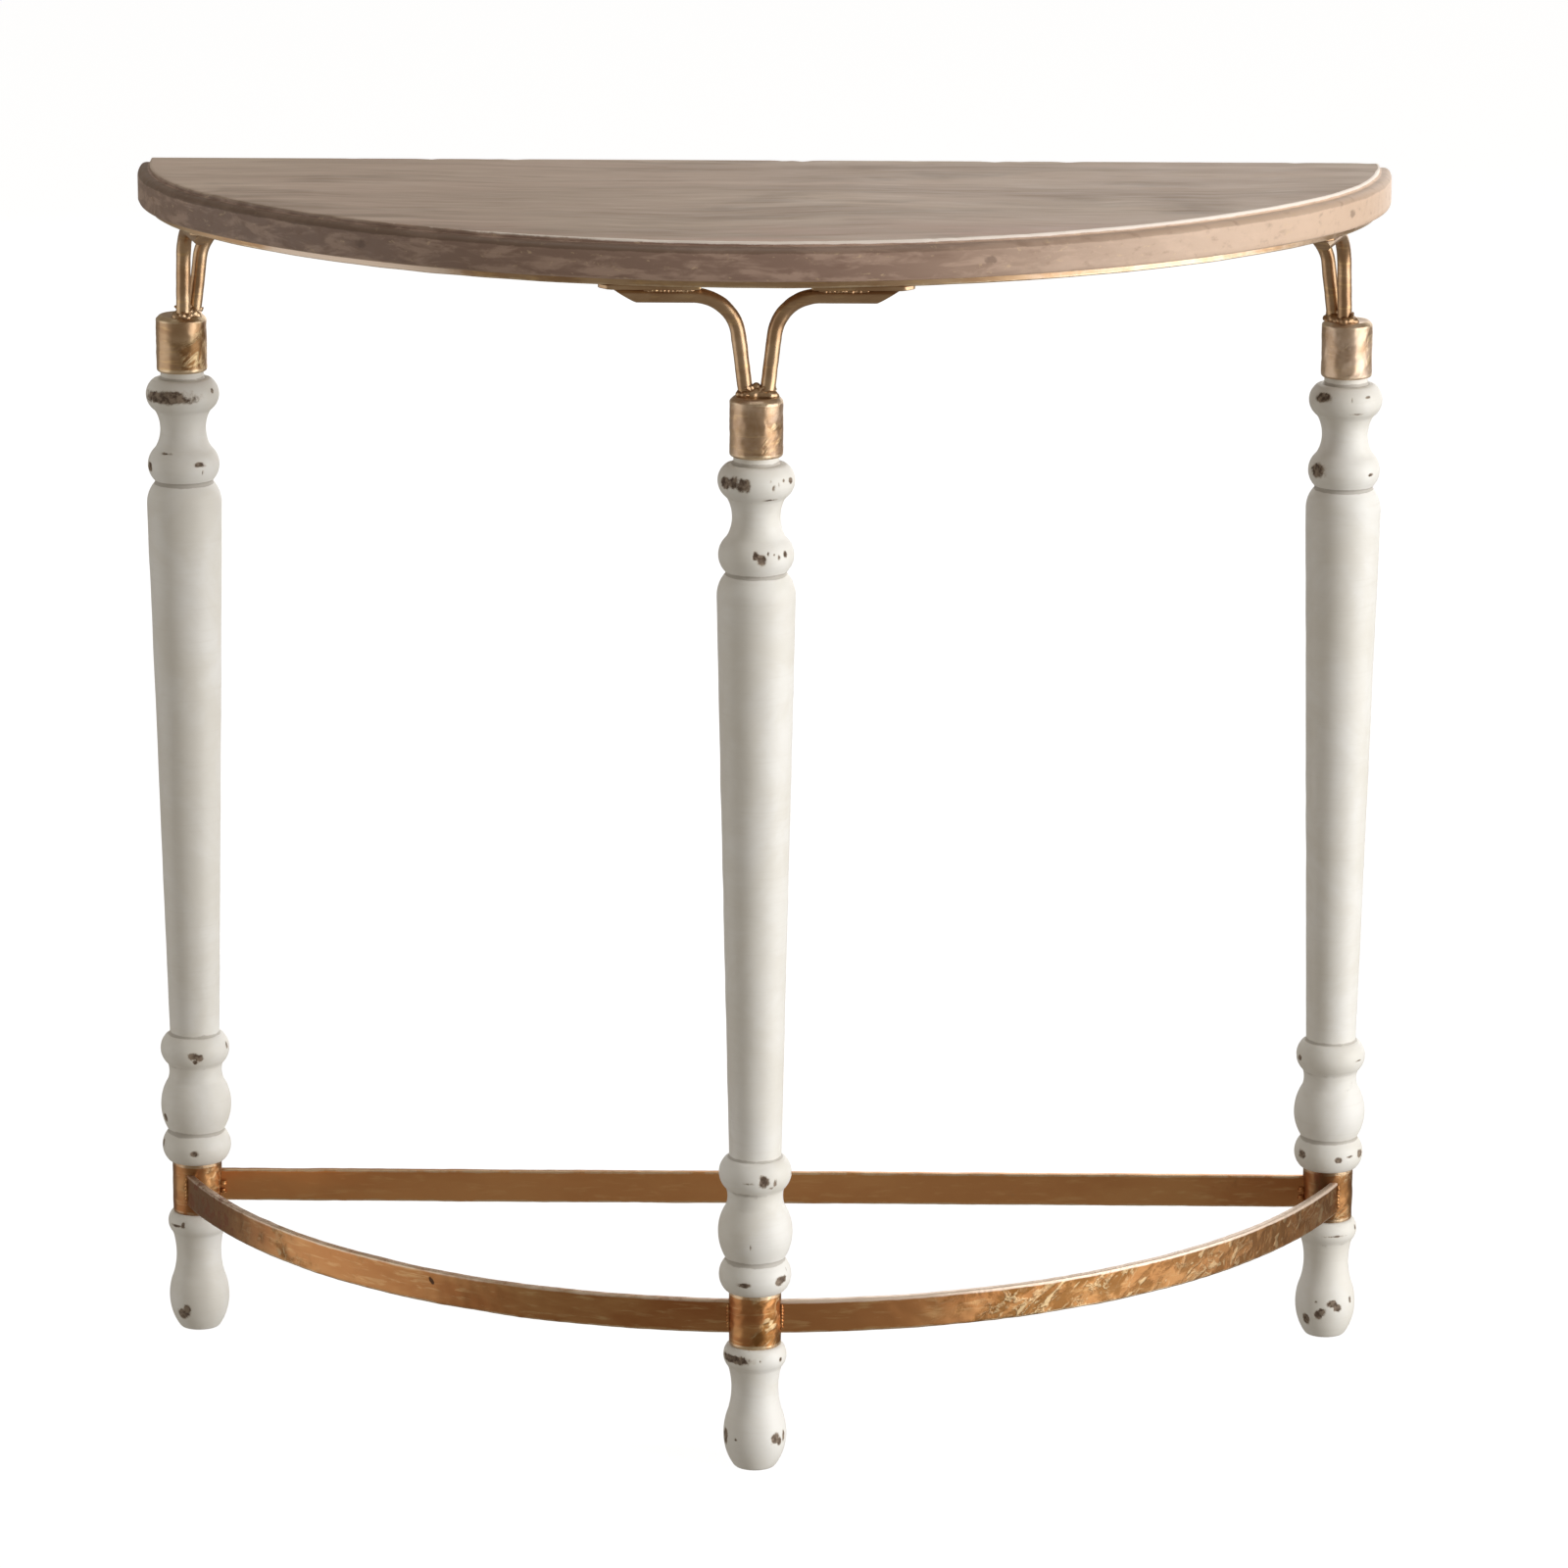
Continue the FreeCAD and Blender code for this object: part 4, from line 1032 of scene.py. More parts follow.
def rippled_bar(node, grid, seed, **marks):
    """A bar's rings with a slow ripple and finer dents, closed at both ends."""
    dents = 0.14 * MM * ripple(grid, 50 * MM, seed) + 0.07 * MM * ripple(grid, 12 * MM, seed + 1)
    middle = grid.mean(1, keepdims=True)
    away = grid - middle
    away /= np.maximum(np.linalg.norm(away * (1, 1, 0.2), axis=-1, keepdims=True), 1 * MM)
    grid = grid + away * dents[..., None] * (1, 1, 0.3)
    marks["edge"] = bar_corner
    marks = {label: on_rings(values, grid) for label, values in marks.items()}
    return add_surface(f"gilded_{node}", with_ends(grid), "gilded_steel", node, **marks)


def meeting_angle(reach, distance):
    """The angle at a circle's centre between a collar's axis and where an arc enters the collar.

    By the law of cosines in the triangle of the circle's centre, the collar's axis and the meeting point.
    """
    inside = COLLAR_RADIUS - COLLAR_SINK
    return np.arccos((reach**2 + distance**2 - inside**2) / (2 * reach * distance))


print("front stretchers' radius:", round(STRETCHER_RADIUS, 4), "m")

# %% Make the stretchers
# Where the left bar's coat is chipped: a share of the bar's length, and mm above its middle.
CHIP_SHARE, CHIP_RISE = 0.426, 4
BAR_LENGTH_IN_MM = 475

stretchers = []
reach = STRETCHER_RADIUS + bar_points[:, 0]
first_angle = meeting_angle(reach, STRETCHER_RADIUS)
last_angle = SIDE_ANGLE - meeting_angle(reach, SIDE_DISTANCE)
share = np.linspace(0, 1, STRETCHER_STEPS)[:, None]
angle = first_angle + share * (last_angle - first_angle)
bar_level = COLLAR_MIDDLE + bar_points[:, 1]
# The top few mm of a front bar, painted pale and less metallic: a painted highlight on its upper face.
upper = np.clip((bar_points[:, 1] - BAR_HEIGHT / 2 + 3 * MM) / (1.5 * MM), 0, 1)
for step, (side, sign) in enumerate((("right", 1), ("left", -1))):
    grid = stacked(sign * reach * np.sin(angle), STRETCHER_CENTRE - reach * np.cos(angle), bar_level)
    if side == "right":
        marks = {
            "leafy": smooth_step(0.1, 0.4, share),
            "scorch": 0.55 * smooth_step(0.3, 0.85, share),
            "fresh": 0.5 * (1 - smooth_step(0.15, 0.5, share)),
            "polish": upper,
        }
    else:
        rise = bar_points[:, 1] / MM - CHIP_RISE
        along_bar = (share - CHIP_SHARE) * BAR_LENGTH_IN_MM
        marks = {
            "leafy": 0.45 * smooth_step(0.3, 0.6, share),
            "chip": np.clip(1.6 - np.hypot((along_bar - 0.5 * rise) / 1.7, rise / 2.6), 0, 1),
            "scorch": 0.85 * smooth_step(0.66, 0.88, share),
            "fresh": 0.6 * np.exp(-(((share - 0.62) / 0.16) ** 2)),
            "polish": 0.5 * upper,
        }
    stretchers.append(rippled_bar(f"front_stretcher_{side}", grid, seed=400 + 5 * step, **marks))

across = np.linspace(-1, 1, STRETCHER_STEPS)[:, None] * (side_x - COLLAR_RADIUS + COLLAR_SINK)
back_grid = stacked(across, side_y + bar_points[:, 0], bar_level)
back_marks = {
    "leafy": 0.3 * smooth_step(0, 0.3, across),
    "fresh": 1 - 0.6 * smooth_step(0.15, 0.35, across),
}
stretchers.append(rippled_bar("back_stretcher", back_grid, seed=420, **back_marks))
print("stretchers:", [piece.name for piece in stretchers])

# %% One bead of weld
BEAD_ROWS, BEAD_COLUMNS = 40, 20
# A direction that no bead follows.
ASKEW = (0.3, 0.5, 0.8)


def weld_bead(start, end, radius, seed):
    """A circle carried from start to end: it swells with each pulse and closes to a point at both ends."""
    start, end = np.array(start), np.array(end)
    length = np.linalg.norm(end - start)
    share = np.linspace(0, 1, BEAD_ROWS)[:, None]
    ahead = (end - start) / length
    side_way = np.cross(ahead, ASKEW)
    side_way /= np.linalg.norm(side_way)
    other_way = np.cross(ahead, side_way)
    pulse = 1 + 0.2 * np.cos(2 * np.pi * share * length / (1.7 * radius))
    size = radius * pulse * np.maximum(1 - np.abs(2 * share - 1) ** 5, 0) ** 0.5
    angle = full_turn(BEAD_COLUMNS, start=0)
    ring = np.cos(angle)[:, None] * side_way + np.sin(angle)[:, None] * other_way
    grid = start + (share * length)[..., None] * ahead + size[..., None] * ring
    grid += 0.18 * radius * ripple(grid, 3 * radius, seed)[..., None] * ring
    grid[[0, -1]] = grid[[0, -1]].mean(1, keepdims=True)
    return surface("bead", grid, edge=0.25)


def together(name, meshes):
    """Several meshes as one."""
    joined = bmesh.new()
    for mesh in meshes:
        joined.from_mesh(mesh)
    whole = meshes[0]
    joined.to_mesh(whole)
    joined.free()
    whole.name = name
    return whole


print("faces of one bead:", (BEAD_ROWS - 1) * BEAD_COLUMNS)

# %% Beads beside the straps
STRAP_BEAD_ENDS = (38 * MM, 70 * MM)
STRAP_BEAD_REACH = 3.3 * MM
BEAD_STEP = 1.3 * MM

beads = []
above = strap_low.z - cap_high.z - BEAD_STEP
for step, arm in enumerate(ARMS):
    for way in (-1, 1):
        ends = from_arm([(ahead, way * STRAP_BEAD_REACH, above) for ahead in STRAP_BEAD_ENDS], arm)
        beads.append(weld_bead(*ends, radius=1.4 * MM, seed=500 + 2 * step + way))
strap_welds = add_piece(together("gilded_strap_welds", beads), "gilded_steel")
print("strap welds, faces:", len(strap_welds.data.polygons))

# %% Beads on the collars
HALF_BEAD = 9 * MM
HALF_DROP = 1.6 * MM
PROUD = 0.2 * MM


def upright_bead(x, y, radius, seed, level=COLLAR_MIDDLE, half=HALF_BEAD):
    """A bead of weld that stands upright beside a collar."""
    return weld_bead((x, y, level - half), (x, y, level + half), radius, seed)


beads = []
for sign in (-1, 1):
    for way in (-1, 1):
        edge_reach = STRETCHER_RADIUS + way * BAR_THICKNESS / 2
        angle = SIDE_ANGLE - meeting_angle(edge_reach, SIDE_DISTANCE) - BEAD_STEP / edge_reach
        x, y = sign * edge_reach * math.sin(angle), STRETCHER_CENTRE - edge_reach * math.cos(angle)
        beads.append(upright_bead(x, y, radius=1.5 * MM, seed=540 + 2 * sign + way))
        x, y = sign * (COLLAR_RADIUS + PROUD), centre_y + way * (BAR_THICKNESS / 2 + PROUD)
        beads.append(upright_bead(x, y, radius=1.3 * MM, seed=550 + 2 * sign + way))
    x, y = sign * (side_x - COLLAR_RADIUS - PROUD), side_y + BAR_THICKNESS / 2 + PROUD
    beads.append(upright_bead(x, y, radius=1.4 * MM, seed=560 + sign))
    x, y = sign * (side_x - COLLAR_RADIUS - 1 * MM), side_y - BAR_THICKNESS / 2 - 0.4 * MM
    for level in (COLLAR_MIDDLE - 3.6 * MM, COLLAR_MIDDLE + 2 * MM):
        beads.append(upright_bead(x, y, radius=2.5 * MM, seed=570 + sign, level=level, half=HALF_DROP))
collar_welds = add_piece(together("gilded_collar_welds", beads), "gilded_steel")
print("collar welds, faces:", len(collar_welds.data.polygons))

# %% [markdown]
# ## Building finishes from nodes
#
# A finish is a small network: patterns make masks, masks blend colours, and the result goes into one
# shader. Three effects come back in several finishes, so each is built once as a node group with named
# sockets: patches where a coat is thicker or thinner, edges that are rubbed bare, and streaks along a
# grain. All patterns read the piece's own coordinates in metres, so they stay put from every side.

# %% Helpers for finishes
QUARTER_TURN = (0, math.pi / 2, 0)


def colour(code):
    """A colour from a paint chart, #rrggbb, as linear light: the curve of a screen undone."""
    parts = np.array([int(code[place:place + 2], 16) for place in (1, 3, 5)]) / 255
    linear = np.where(parts <= 0.04045, parts / 12.92, ((parts + 0.055) / 1.055) ** 2.4)
    return (*linear.tolist(), 1.0)


def feed(tree, item, feeds):
    """Give a node's inputs plain values or other nodes' outputs."""
    for key, value in feeds.items():
        if isinstance(value, bpy.types.NodeSocket):
            tree.links.new(value, item.inputs[key])
        else:
            item.inputs[key].default_value = value


def add_node(tree, kind, feeds=None, **settings):
    """One shader node with its settings and its inputs."""
    item = tree.nodes.new("ShaderNode" + kind)
    for name, setting in settings.items():
        setattr(item, name, setting)
    feed(tree, item, feeds or {})
    return item


def blend(tree, share, first, second):
    return add_node(tree, "Mix", {0: share, 6: first, 7: second}, data_type="RGBA").outputs[2]


def reckon(tree, operation, first, second=0.0):
    return add_node(tree, "Math", {0: first, 1: second}, operation=operation).outputs[0]


def layers(tree, ground, *rows):
    """Colours from the chart laid over a ground in turn: each has a mask, and may have a strength."""
    tone = colour(ground) if isinstance(ground, str) else ground
    for code, mask, *strength in rows:
        share = reckon(tree, "MULTIPLY", mask, *strength) if strength else mask
        tone = blend(tree, share, tone, colour(code))
    return tone


def spread(tree, value, low, high, start=0.0, stop=1.0):
    """Start below low, stop above high, and an even curve between them."""
    feeds = {"Value": value, "From Min": low, "From Max": high, "To Min": start, "To Max": stop}
    return add_node(tree, "MapRange", feeds, interpolation_type="SMOOTHSTEP").outputs[0]


def cloud(tree, vector, scale, detail=3.0, roughness=0.55, distortion=0.0):
    feeds = {"Vector": vector, "Scale": scale, "Detail": detail, "Roughness": roughness}
    return add_node(tree, "TexNoise", {**feeds, "Distortion": distortion}).outputs["Fac"]


def stretched(tree, vector, scale, turn=(0, 0, 0)):
    return add_node(tree, "Mapping", {"Vector": vector, "Scale": scale, "Rotation": turn}).outputs[0]


def mark(tree, name):
    return add_node(tree, "Attribute", attribute_name=name, attribute_type="GEOMETRY").outputs["Fac"]


def bump(tree, height, distance, strength):
    feeds = {"Height": height, "Distance": distance, "Strength": strength}
    return add_node(tree, "Bump", feeds).outputs[0]


def new_finish(name):
    """An empty material: its tree, its shader and the piece's own coordinates."""
    material = bpy.data.materials.new(name)
    material.use_nodes = True
    tree = material.node_tree
    shader = next(item for item in tree.nodes if item.type == "BSDF_PRINCIPLED")
    return material, tree, shader, add_node(tree, "TexCoord").outputs["Object"]


# %% Shared effects
def new_group(name, inputs, outputs):
    """An empty node group with float sockets, and a vector socket first."""
    tree = bpy.data.node_groups.new(name, "ShaderNodeTree")
    tree.interface.new_socket("Vector", in_out="INPUT", socket_type="NodeSocketVector")
    for label in inputs:
        tree.interface.new_socket(label, in_out="INPUT", socket_type="NodeSocketFloat")
    for label in outputs:
        tree.interface.new_socket(label, in_out="OUTPUT", socket_type="NodeSocketFloat")
    return tree, tree.nodes.new("NodeGroupInput").outputs, tree.nodes.new("NodeGroupOutput").inputs


patches, given, result = new_group("patches", ["Scale", "Low", "High"], ["Mask"])
broad = cloud(patches, given["Vector"], given["Scale"], detail=4, roughness=0.6, distortion=0.4)
patches.links.new(spread(patches, broad, given["Low"], given["High"]), result["Mask"])

rubbed, given, result = new_group("rubbed_edges", ["Mark", "Scale", "Break", "Level", "Soft"], ["Mask"])
coarse = cloud(rubbed, given["Vector"], given["Scale"], detail=5, roughness=0.65, distortion=0.3)
uneven = reckon(rubbed, "MULTIPLY", reckon(rubbed, "SUBTRACT", coarse, 0.5), given["Break"])
height = reckon(rubbed, "ADD", given["Mark"], uneven)
above_level = reckon(rubbed, "SUBTRACT", height, given["Level"])
rubbed.links.new(spread(rubbed, above_level, 0.0, given["Soft"]), result["Mask"])

streaks, given, result = new_group("streaks", ["Along", "Across"], ["Fibre", "Figure"])
scales = {0: given["Along"], 1: given["Across"], 2: given["Across"]}
grain_scale = add_node(streaks, "CombineXYZ", scales).outputs[0]
scaled = add_node(streaks, "VectorMath", {0: given["Vector"], 1: grain_scale}, operation="MULTIPLY")
fibre = cloud(streaks, scaled.outputs[0], 1.0, detail=5, roughness=0.6)
streaks.links.new(fibre, result["Fibre"])
figure = cloud(streaks, scaled.outputs[0], 0.11, roughness=0.5, distortion=0.8)
streaks.links.new(figure, result["Figure"])


def use_group(tree, group, **feeds):
    return add_node(tree, "Group", feeds, node_tree=group).outputs


def patch_mask(tree, vector, **feeds):
    """A mask of soft patches."""
    return use_group(tree, patches, Vector=vector, **feeds)["Mask"]


def rubbed_mask(tree, vector, label, **feeds):
    """A mask of where a mark stands above a level, with a ragged border."""
    return use_group(tree, rubbed, Vector=vector, Mark=mark(tree, label), **feeds)["Mask"]


print("shared effects:", [group.name for group in (patches, rubbed, streaks)])

# %% [markdown]
# ## Weathered wood
#
# The top was limed and waxed, and the wax has worn: the colour is a greyed brown, the grain runs from
# left to right, and the step round the field is rubbed pale, with a painted highlight on it that is
# strongest from the middle to the right. The rounded edge is warmer, with a few knots: its shoulder
# carries painted shade, heavier on the left, and its band is painted paler towards the right end, a
# painted highlight. Solid patterns in three dimensions give long grain on top and end grain at the ends,
# as a real plank does.

# %% Wood finish
wood, tree, shader, place = new_finish("weathered_wood")
drift = add_node(tree, "TexNoise", {"Vector": place, "Scale": 4.0, "Detail": 3.0}).outputs["Color"]
drifting = {0: drift, 1: (0.0, 0.07, 0.03), 2: place}
bent = add_node(tree, "VectorMath", drifting, operation="MULTIPLY_ADD").outputs[0]
grain = use_group(tree, streaks, Vector=bent, Along=20.0, Across=190.0)
washed = patch_mask(tree, stretched(tree, place, (0.5, 1.6, 1.6)), Scale=9.0, Low=0.36, High=0.66)
slant = cloud(tree, stretched(tree, bent, (8, 60, 60), turn=(0, 0, 0.7)), 1.0, detail=2)
slant_place = patch_mask(tree, place, Scale=5.0, Low=0.44, High=0.6)
figure = reckon(tree, "MULTIPLY", slant_place, spread(tree, slant, 0.42, 0.62, 0.0, 0.6))
dark_streak = spread(tree, grain["Fibre"], 0.54, 0.76, 0.0, 0.36)
across, depth, _ = add_node(tree, "SeparateXYZ", {0: place}).outputs
front_glow = reckon(tree, "MULTIPLY", spread(tree, depth, -0.06, -0.14, 0.0, 0.6), washed)
field_tone = layers(
    tree,
    "#ab9684",
    ("#c6b2a0", spread(tree, grain["Figure"], 0.3, 0.7)),
    ("#bfa797", washed, 0.45),
    ("#94806f", figure),
    ("#84705f", dark_streak),
    ("#d8c9b8", spread(tree, grain["Fibre"], 0.44, 0.28, 0.0, 0.25)),
    ("#c9a292", front_glow),
)

scuffs = patch_mask(tree, stretched(tree, place, (0.6, 0.6, 2.4)), Scale=60.0, Low=0.44, High=0.62)
scratched = patch_mask(tree, stretched(tree, place, (0.7, 0.7, 1.6)), Scale=190.0, Low=0.62, High=0.7)
band_tone = layers(
    tree,
    "#8a7062",
    ("#ae9383", scuffs),
    # The band painted paler towards the right end: a painted highlight where the light from the right
    # falls.
    ("#e3c6ad", spread(tree, across, 0.02, 0.36, 0.0, 0.9)),
    ("#7c6050", dark_streak),
    ("#dcc19c", scratched, 0.5),
)
# Painted shade on the rounded shoulder, heavier on the left, away from the light from the right.
shoulder_shade_mask = rubbed_mask(tree, place, "shoulder", Scale=45.0, Break=0.9, Level=0.4, Soft=0.3)
shoulder_shade_share = reckon(tree, "MULTIPLY", shoulder_shade_mask, spread(tree, across, -0.1, 0.25, 0.75, 0.3))
tone = layers(
    tree,
    blend(tree, reckon(tree, "MULTIPLY", mark(tree, "band"), 0.9), field_tone, band_tone),
    ("#65503f", shoulder_shade_share),
    ("#5b4537", rubbed_mask(tree, place, "knot", Scale=260.0, Break=0.7, Level=0.42, Soft=0.3), 0.5),
    # The pale step: rubbed wear and a painted highlight, strongest from the middle to the right.
    ("#f6ece2", rubbed_mask(tree, place, "edge", Scale=60.0, Break=0.6, Level=0.34, Soft=0.2), 0.95),
)
feed(tree, shader, {
    "Base Color": tone,
    "Roughness": spread(tree, grain["Fibre"], 0.3, 0.7, 0.5, 0.7),
    "Specular IOR Level": 0.3,
    "Coat Weight": spread(tree, mark(tree, "band"), 0.0, 1.0, 0.05, 0.35),
    "Coat Roughness": 0.35,
    "Normal": bump(tree, grain["Fibre"], distance=0.4 * MM, strength=0.4),
})
print("nodes in the wood finish:", len(tree.nodes))

# %% [markdown]
# ## Chalky paint
#
# The legs are painted off-white with a chalky paint that has been sanded and knocked. The grooves carry
# painted shade, a darker grey-brown where the "hollow" marks are, and on the knocks the dark wood shows,
# with a thin rim of thinned paint around it. The "chip" marks say roughly where the knocks are, and a
# fine pattern breaks up their outlines.

# %% Paint finish
paint, tree, shader, place = new_finish("chalky_paint")
thick = patch_mask(tree, place, Scale=20.0, Low=0.35, High=0.68)
upright = stretched(tree, place, (1, 1, 1), QUARTER_TURN)
brush = use_group(tree, streaks, Vector=upright, Along=420.0, Across=28.0)
# Painted shade in the grooves: the "hollow" marks darken the paint where shade falls.
groove_shade = rubbed_mask(tree, place, "hollow", Scale=42.0, Break=1.8, Level=0.42, Soft=0.4)
thin = rubbed_mask(tree, place, "chip", Scale=170.0, Break=1.6, Level=-0.1, Soft=0.4)
bare = rubbed_mask(tree, place, "chip", Scale=170.0, Break=1.6, Level=0.12, Soft=0.3)
tone = layers(
    tree,
    "#eae7df",
    ("#f3f2ee", thick),
    ("#d8d2c6", spread(tree, brush["Fibre"], 0.5, 0.8, 0.0, 0.15)),
    ("#8a7e70", groove_shade, 0.5),
    ("#c2b6a6", thin, 0.55),
)
grain_under = spread(tree, cloud(tree, place, 300.0, detail=4), 0.35, 0.65)
wood_under = layers(tree, "#5a4a3e", ("#9a8a7a", grain_under))
relief = reckon(tree, "SUBTRACT", reckon(tree, "MULTIPLY", brush["Fibre"], 0.12), bare)
feed(tree, shader, {
    "Base Color": blend(tree, bare, tone, wood_under),
    "Roughness": spread(tree, bare, 0.0, 1.0, 0.48, 0.8),
    "Specular IOR Level": 0.35,
    "Normal": bump(tree, relief, distance=0.35 * MM, strength=0.6),
})
print("nodes in the paint finish:", len(tree.nodes))

# %% [markdown]
# ## Gilded steel
#
# The frame is steel with a red-brown ground and a coat of gold leaf over it, rubbed to a satin sheen.
# Where the leaf was laid quickly it is wrinkled: pale ridges and dark cracks run through it. The "leafy"
# marks say where that is, so the rods stay smooth while the right-hand bar is rough. Other marks say
# where the gold is still bright ("fresh"), where it is paler and less metallic, partly rubbed and partly
# a painted highlight on the tops of the front bars and at the right end of the rim, where it is browned
# by the welder's heat ("scorch") and where it is knocked off ("chip").

# %% Gilding finish
gilding, tree, shader, place = new_finish("gilded_steel")
ground = patch_mask(tree, stretched(tree, place, (0.6, 0.6, 1.6)), Scale=22.0, Low=0.36, High=0.68)
low_tone = layers(tree, "#b17648", ("#c89562", ground))
high_tone = layers(tree, "#b4916f", ("#d4b795", ground))
rise = add_node(tree, "SeparateXYZ", {0: place}).outputs["Z"]
gold = blend(tree, spread(tree, rise, 0.15, 0.6), low_tone, high_tone)
faint = patch_mask(tree, stretched(tree, place, (0.4, 0.4, 2.6)), Scale=120.0, Low=0.53, High=0.7)

leafy = rubbed_mask(tree, place, "leafy", Scale=40.0, Break=1.4, Level=0.4, Soft=0.4)
slanted = stretched(tree, place, (1, 1, 1), (0.2, 0.6, 0.2))
crumpled = stretched(tree, slanted, (0.45, 1, 1.1))
folding = cloud(tree, crumpled, 62.0, detail=4, roughness=0.6, distortion=1.2)
fold_line = reckon(tree, "ABSOLUTE", reckon(tree, "SUBTRACT", folding, 0.5))
clustered = patch_mask(tree, place, Scale=38.0, Low=0.4, High=0.6)
lines = reckon(tree, "MULTIPLY", spread(tree, fold_line, 0.045, 0.0), clustered)
slashing = stretched(tree, slanted, (0.3, 1, 1.3))
slashes = cloud(tree, slashing, 120.0, detail=2, roughness=0.5, distortion=0.3)
raised = reckon(tree, "MAXIMUM", lines, spread(tree, slashes, 0.6, 0.68))
ridges = reckon(tree, "MULTIPLY", raised, leafy)
flakes = patch_mask(tree, crumpled, Scale=75.0, Low=0.4, High=0.56)
thin_leaf = reckon(tree, "MULTIPLY", flakes, leafy)

worn = rubbed_mask(tree, place, "edge", Scale=60.0, Break=1.6, Level=0.7, Soft=0.4)
# Paler, less metallic gold: partly rubbed wear, partly a painted highlight on the front bars and the rim.
polish_and_sheen_mask = rubbed_mask(tree, place, "polish", Scale=70.0, Break=0.6, Level=0.25, Soft=0.5)
scorched = rubbed_mask(tree, place, "scorch", Scale=130.0, Break=1.5, Level=0.84, Soft=0.15)
gone = rubbed_mask(tree, place, "chip", Scale=200.0, Break=0.8, Level=0.5, Soft=0.3)
tone = layers(
    tree,
    gold,
    ("#e2c08c", faint, 0.55),
    ("#eeaf74", mark(tree, "fresh"), 0.6),
    ("#a07646", leafy, 0.35),
    ("#744e22", thin_leaf, 0.7),
    ("#f0d9ac", ridges, 0.55),
    ("#eed9b8", worn, 0.7),
    ("#765438", mark(tree, "scorch"), 0.95),
    ("#f6e2d0", polish_and_sheen_mask, 0.85),
    ("#7a3f1c", scorched, 0.75),
    ("#3a2413", gone, 0.85),
)
dull = reckon(tree, "MAXIMUM", scorched, gone)
less_metal = reckon(tree, "MAXIMUM", dull, polish_and_sheen_mask)
folds = reckon(tree, "SUBTRACT", reckon(tree, "SUBTRACT", ridges, thin_leaf), gone)
feed(tree, shader, {
    "Base Color": tone,
    "Roughness": spread(tree, reckon(tree, "MAXIMUM", dull, leafy), 0.0, 1.0, 0.34, 0.44),
    "Metallic": spread(tree, less_metal, 0.0, 1.0, 0.95, 0.6),
    "Normal": bump(tree, folds, distance=0.3 * MM, strength=0.5),
})
print("nodes in the gilding finish:", len(tree.nodes))

# %% [markdown]
# ## Plain steel
#
# The screws under the rim and the studs in the joints are bare steel. They keep their solids, because
# their shapes are right, and only get a finish: grey with a fine turned grain and darker stains.

# %% Steel finish
steel, tree, shader, place = new_finish("plain_steel")
upright = stretched(tree, place, (1, 1, 1), QUARTER_TURN)
turning = use_group(tree, streaks, Vector=upright, Along=900.0, Across=160.0)
stains = patch_mask(tree, place, Scale=260.0, Low=0.45, High=0.65)
turned_lines = spread(tree, turning["Fibre"], 0.5, 0.7, 0.0, 0.4)
feed(tree, shader, {
    "Base Color": layers(tree, "#8e8c88", ("#6a655f", stains), ("#b3b1ad", turned_lines)),
    "Roughness": spread(tree, stains, 0.0, 1.0, 0.32, 0.55),
    "Metallic": 1.0,
    "Normal": bump(tree, turning["Fibre"], distance=0.05 * MM, strength=0.4),
})
print("nodes in the steel finish:", len(tree.nodes))

# %% Give each piece its finish
FINISHES = {"weathered_wood": wood, "painted_wood": paint, "gilded_steel": gilding, "plain_steel": steel}
for piece in [item for item in bpy.data.objects if item.get("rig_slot")]:
    piece.data.materials.append(FINISHES[piece["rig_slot"]])
kept_solids = [solid for solid in frame["nodes"].values() if not solid.hide_render]
for solid in kept_solids:
    for material_slot in solid.material_slots:
        material_slot.material = steel
print("solids kept:", [solid.name for solid in kept_solids])

# %% [markdown]
# ## The studio
#
# The table stands on a plain pale floor that curves up into a wall, far enough away on every side. One
# broad light low on the right models the turnings. Polished metal shows its surroundings more than its
# lights, so large dim panels stand to the right, to the left and behind for the metal to mirror. Weak
# lights from above and behind keep the other sides readable. None of the lights is seen by the camera
# itself.

# %% Floor
FLOOR_RADIUS = 7
SWEEP_RADIUS = 4
WALL_TOP = 12
SWEEP_STEPS = 24
FLOOR_COLUMNS = 96
sweep = np.linspace(0, np.pi / 2, SWEEP_STEPS)
bowl_profile = np.concatenate([
    [(0, 0)],
    stacked(FLOOR_RADIUS + SWEEP_RADIUS * np.sin(sweep), SWEEP_RADIUS * (1 - np.cos(sweep))),
    [(FLOOR_RADIUS + SWEEP_RADIUS, WALL_TOP)],
])
floor_mesh = surface("pale_floor", turned(bowl_profile, (0, 0), FLOOR_COLUMNS))
floor = bpy.data.objects.new("pale_floor", floor_mesh)
bpy.context.scene.collection.objects.link(floor)
floor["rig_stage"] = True
floor_finish, tree, shader, _ = new_finish("pale_floor")
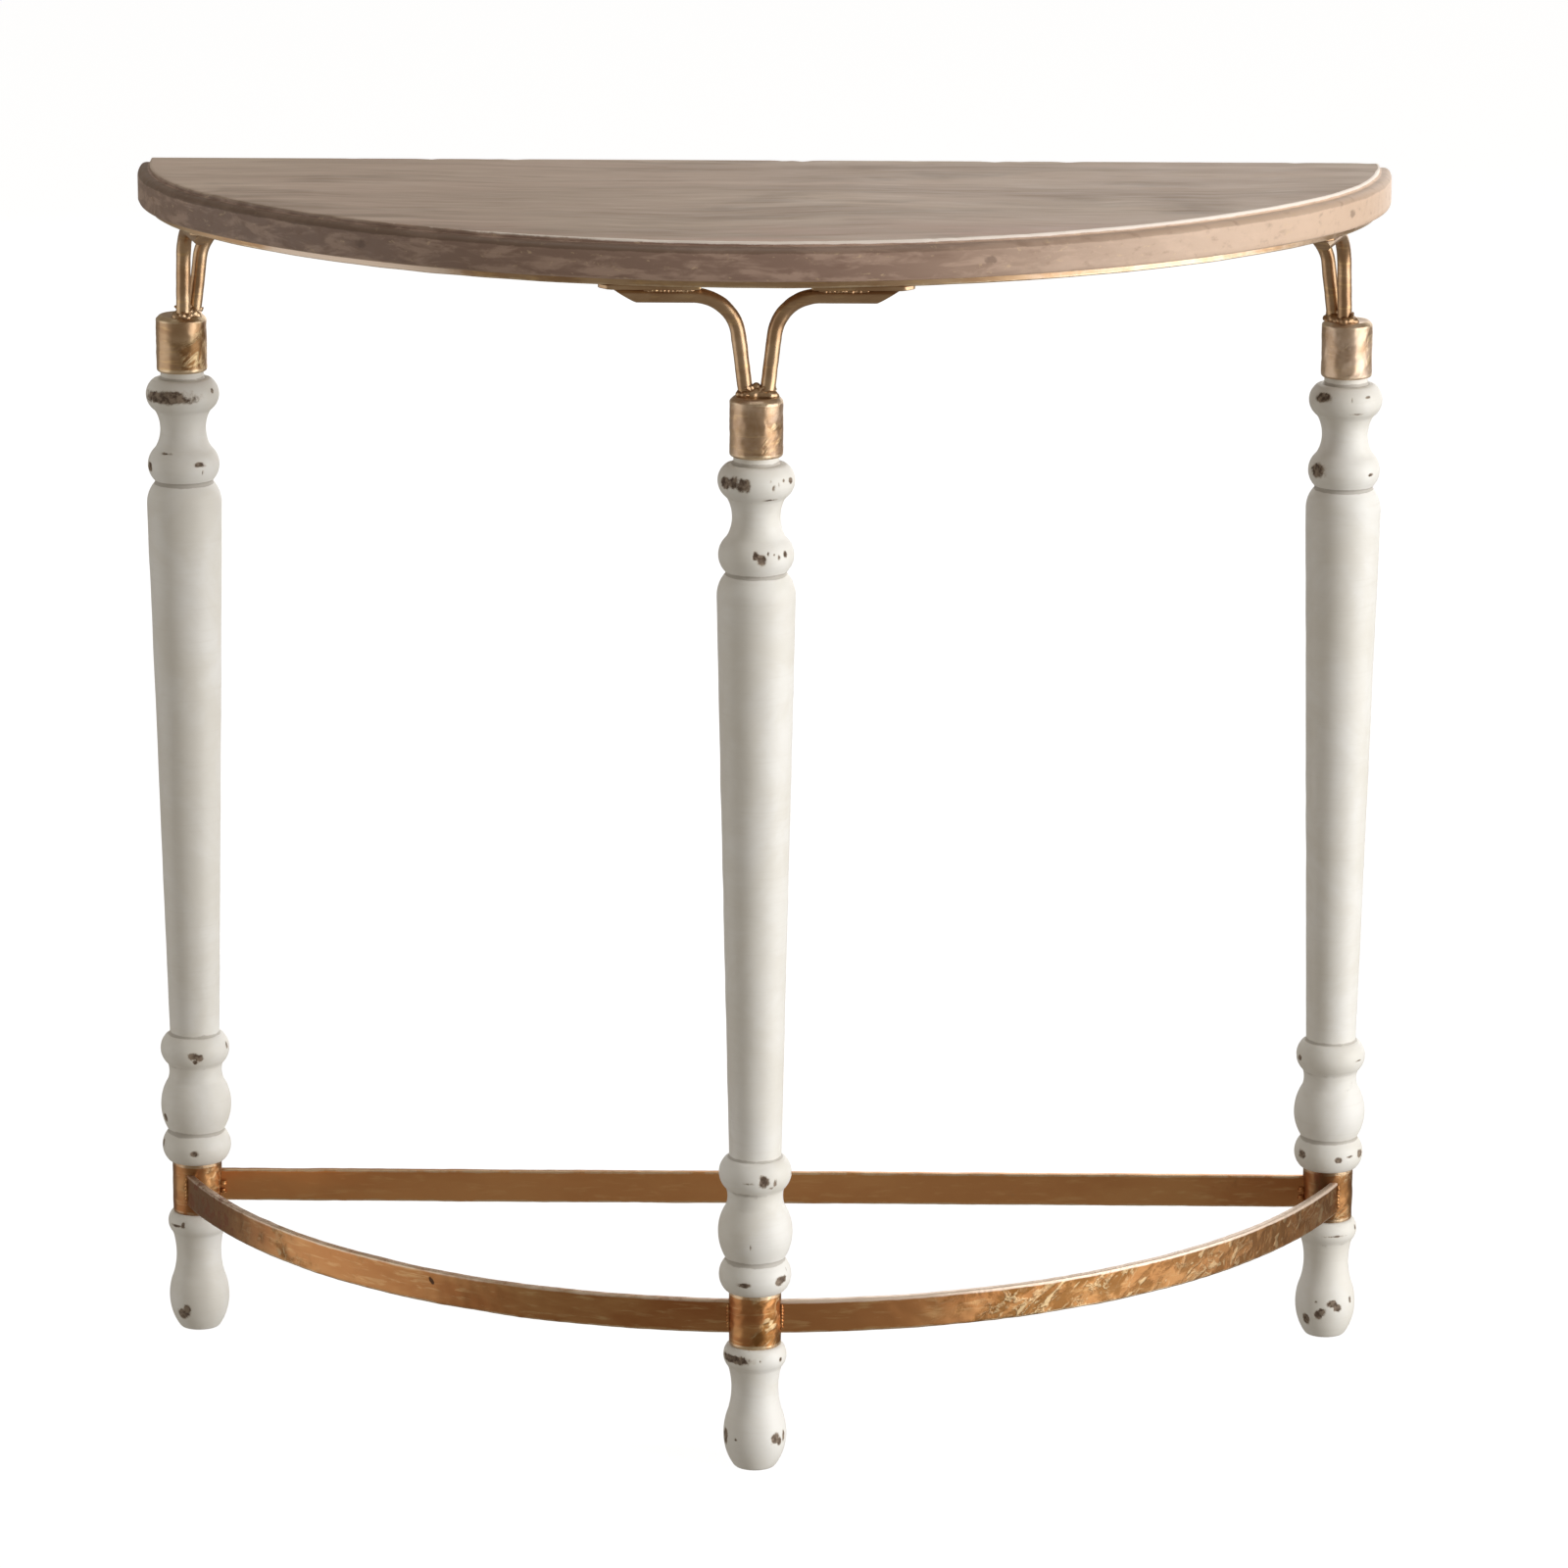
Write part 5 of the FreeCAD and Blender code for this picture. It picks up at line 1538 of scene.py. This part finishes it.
feed(tree, shader, {
    "Base Color": (0.22, 0.22, 0.22, 1),
    "Roughness": 0.9,
    "Specular IOR Level": 0.0,
    "Emission Color": (1, 1, 1, 1),
    "Emission Strength": 0.93,
})
floor_mesh.materials.append(floor_finish)
floor.visible_glossy = False
floor.visible_diffuse = False
floor.visible_shadow = False
print("floor:", FLOOR_RADIUS + SWEEP_RADIUS, "m to the wall")

# %% Lights
world = bpy.data.worlds.new("studio")
bpy.context.scene.world = world
world.use_nodes = True
background = next(item for item in world.node_tree.nodes if item.type == "BACKGROUND")
feed(world.node_tree, background, {"Color": (1.0, 0.9, 0.76, 1), "Strength": 0.25})


def soft_light(name, spot, aim, size, power, lights=True, mirrored=True):
    """A square light that faces a point: it may light the paint, be mirrored in the metal, or both."""
    lamp = bpy.data.lights.new(name, "AREA")
    lamp.shape = "SQUARE"
    lamp.size = size
    lamp.energy = power
    item = bpy.data.objects.new(name, lamp)
    item.location = spot
    item.rotation_euler = (Vector(aim) - Vector(spot)).to_track_quat("-Z", "Y").to_euler()
    item.visible_camera = False
    item.visible_diffuse = lights
    item.visible_glossy = mirrored
    bpy.context.scene.collection.objects.link(item)


soft_light("key_right", (6.5, -2.86, 1.82), aim=(0, 0, 0.45), size=3.4, power=456, mirrored=False)
soft_light("panel_right", (4.3, -1.6, 0.3), aim=(0, 0, 0.4), size=4.6, power=170, lights=False)
soft_light("panel_left", (-4.0, -0.4, 0.3), aim=(0, 0, 0.4), size=4, power=33)
soft_light("panel_behind", (1.8, 5.0, 1.6), aim=(0, 0, 0.6), size=4, power=80, lights=False)
soft_light("above", (0, 0.1, 3.4), aim=(0, 0, 0.4), size=2.4, power=17)
soft_light("behind", (-1.0, 4.0, 2.0), aim=(0, 0, 0.5), size=2, power=30, mirrored=False)
bpy.context.scene.view_settings.view_transform = "Standard"

# %% [markdown]
# ## How far the table reaches past the solids
#
# The dressed table should stay inside the box of the solids: how far each side of its box reaches past
# theirs is printed, in mm.

# %% Compare the boxes
new_low, new_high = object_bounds()
growth = zip([*cad_low, *new_high], [*new_low, *cad_high])
print("growth in mm:", [round((outer - inner) / MM, 2) for outer, inner in growth])
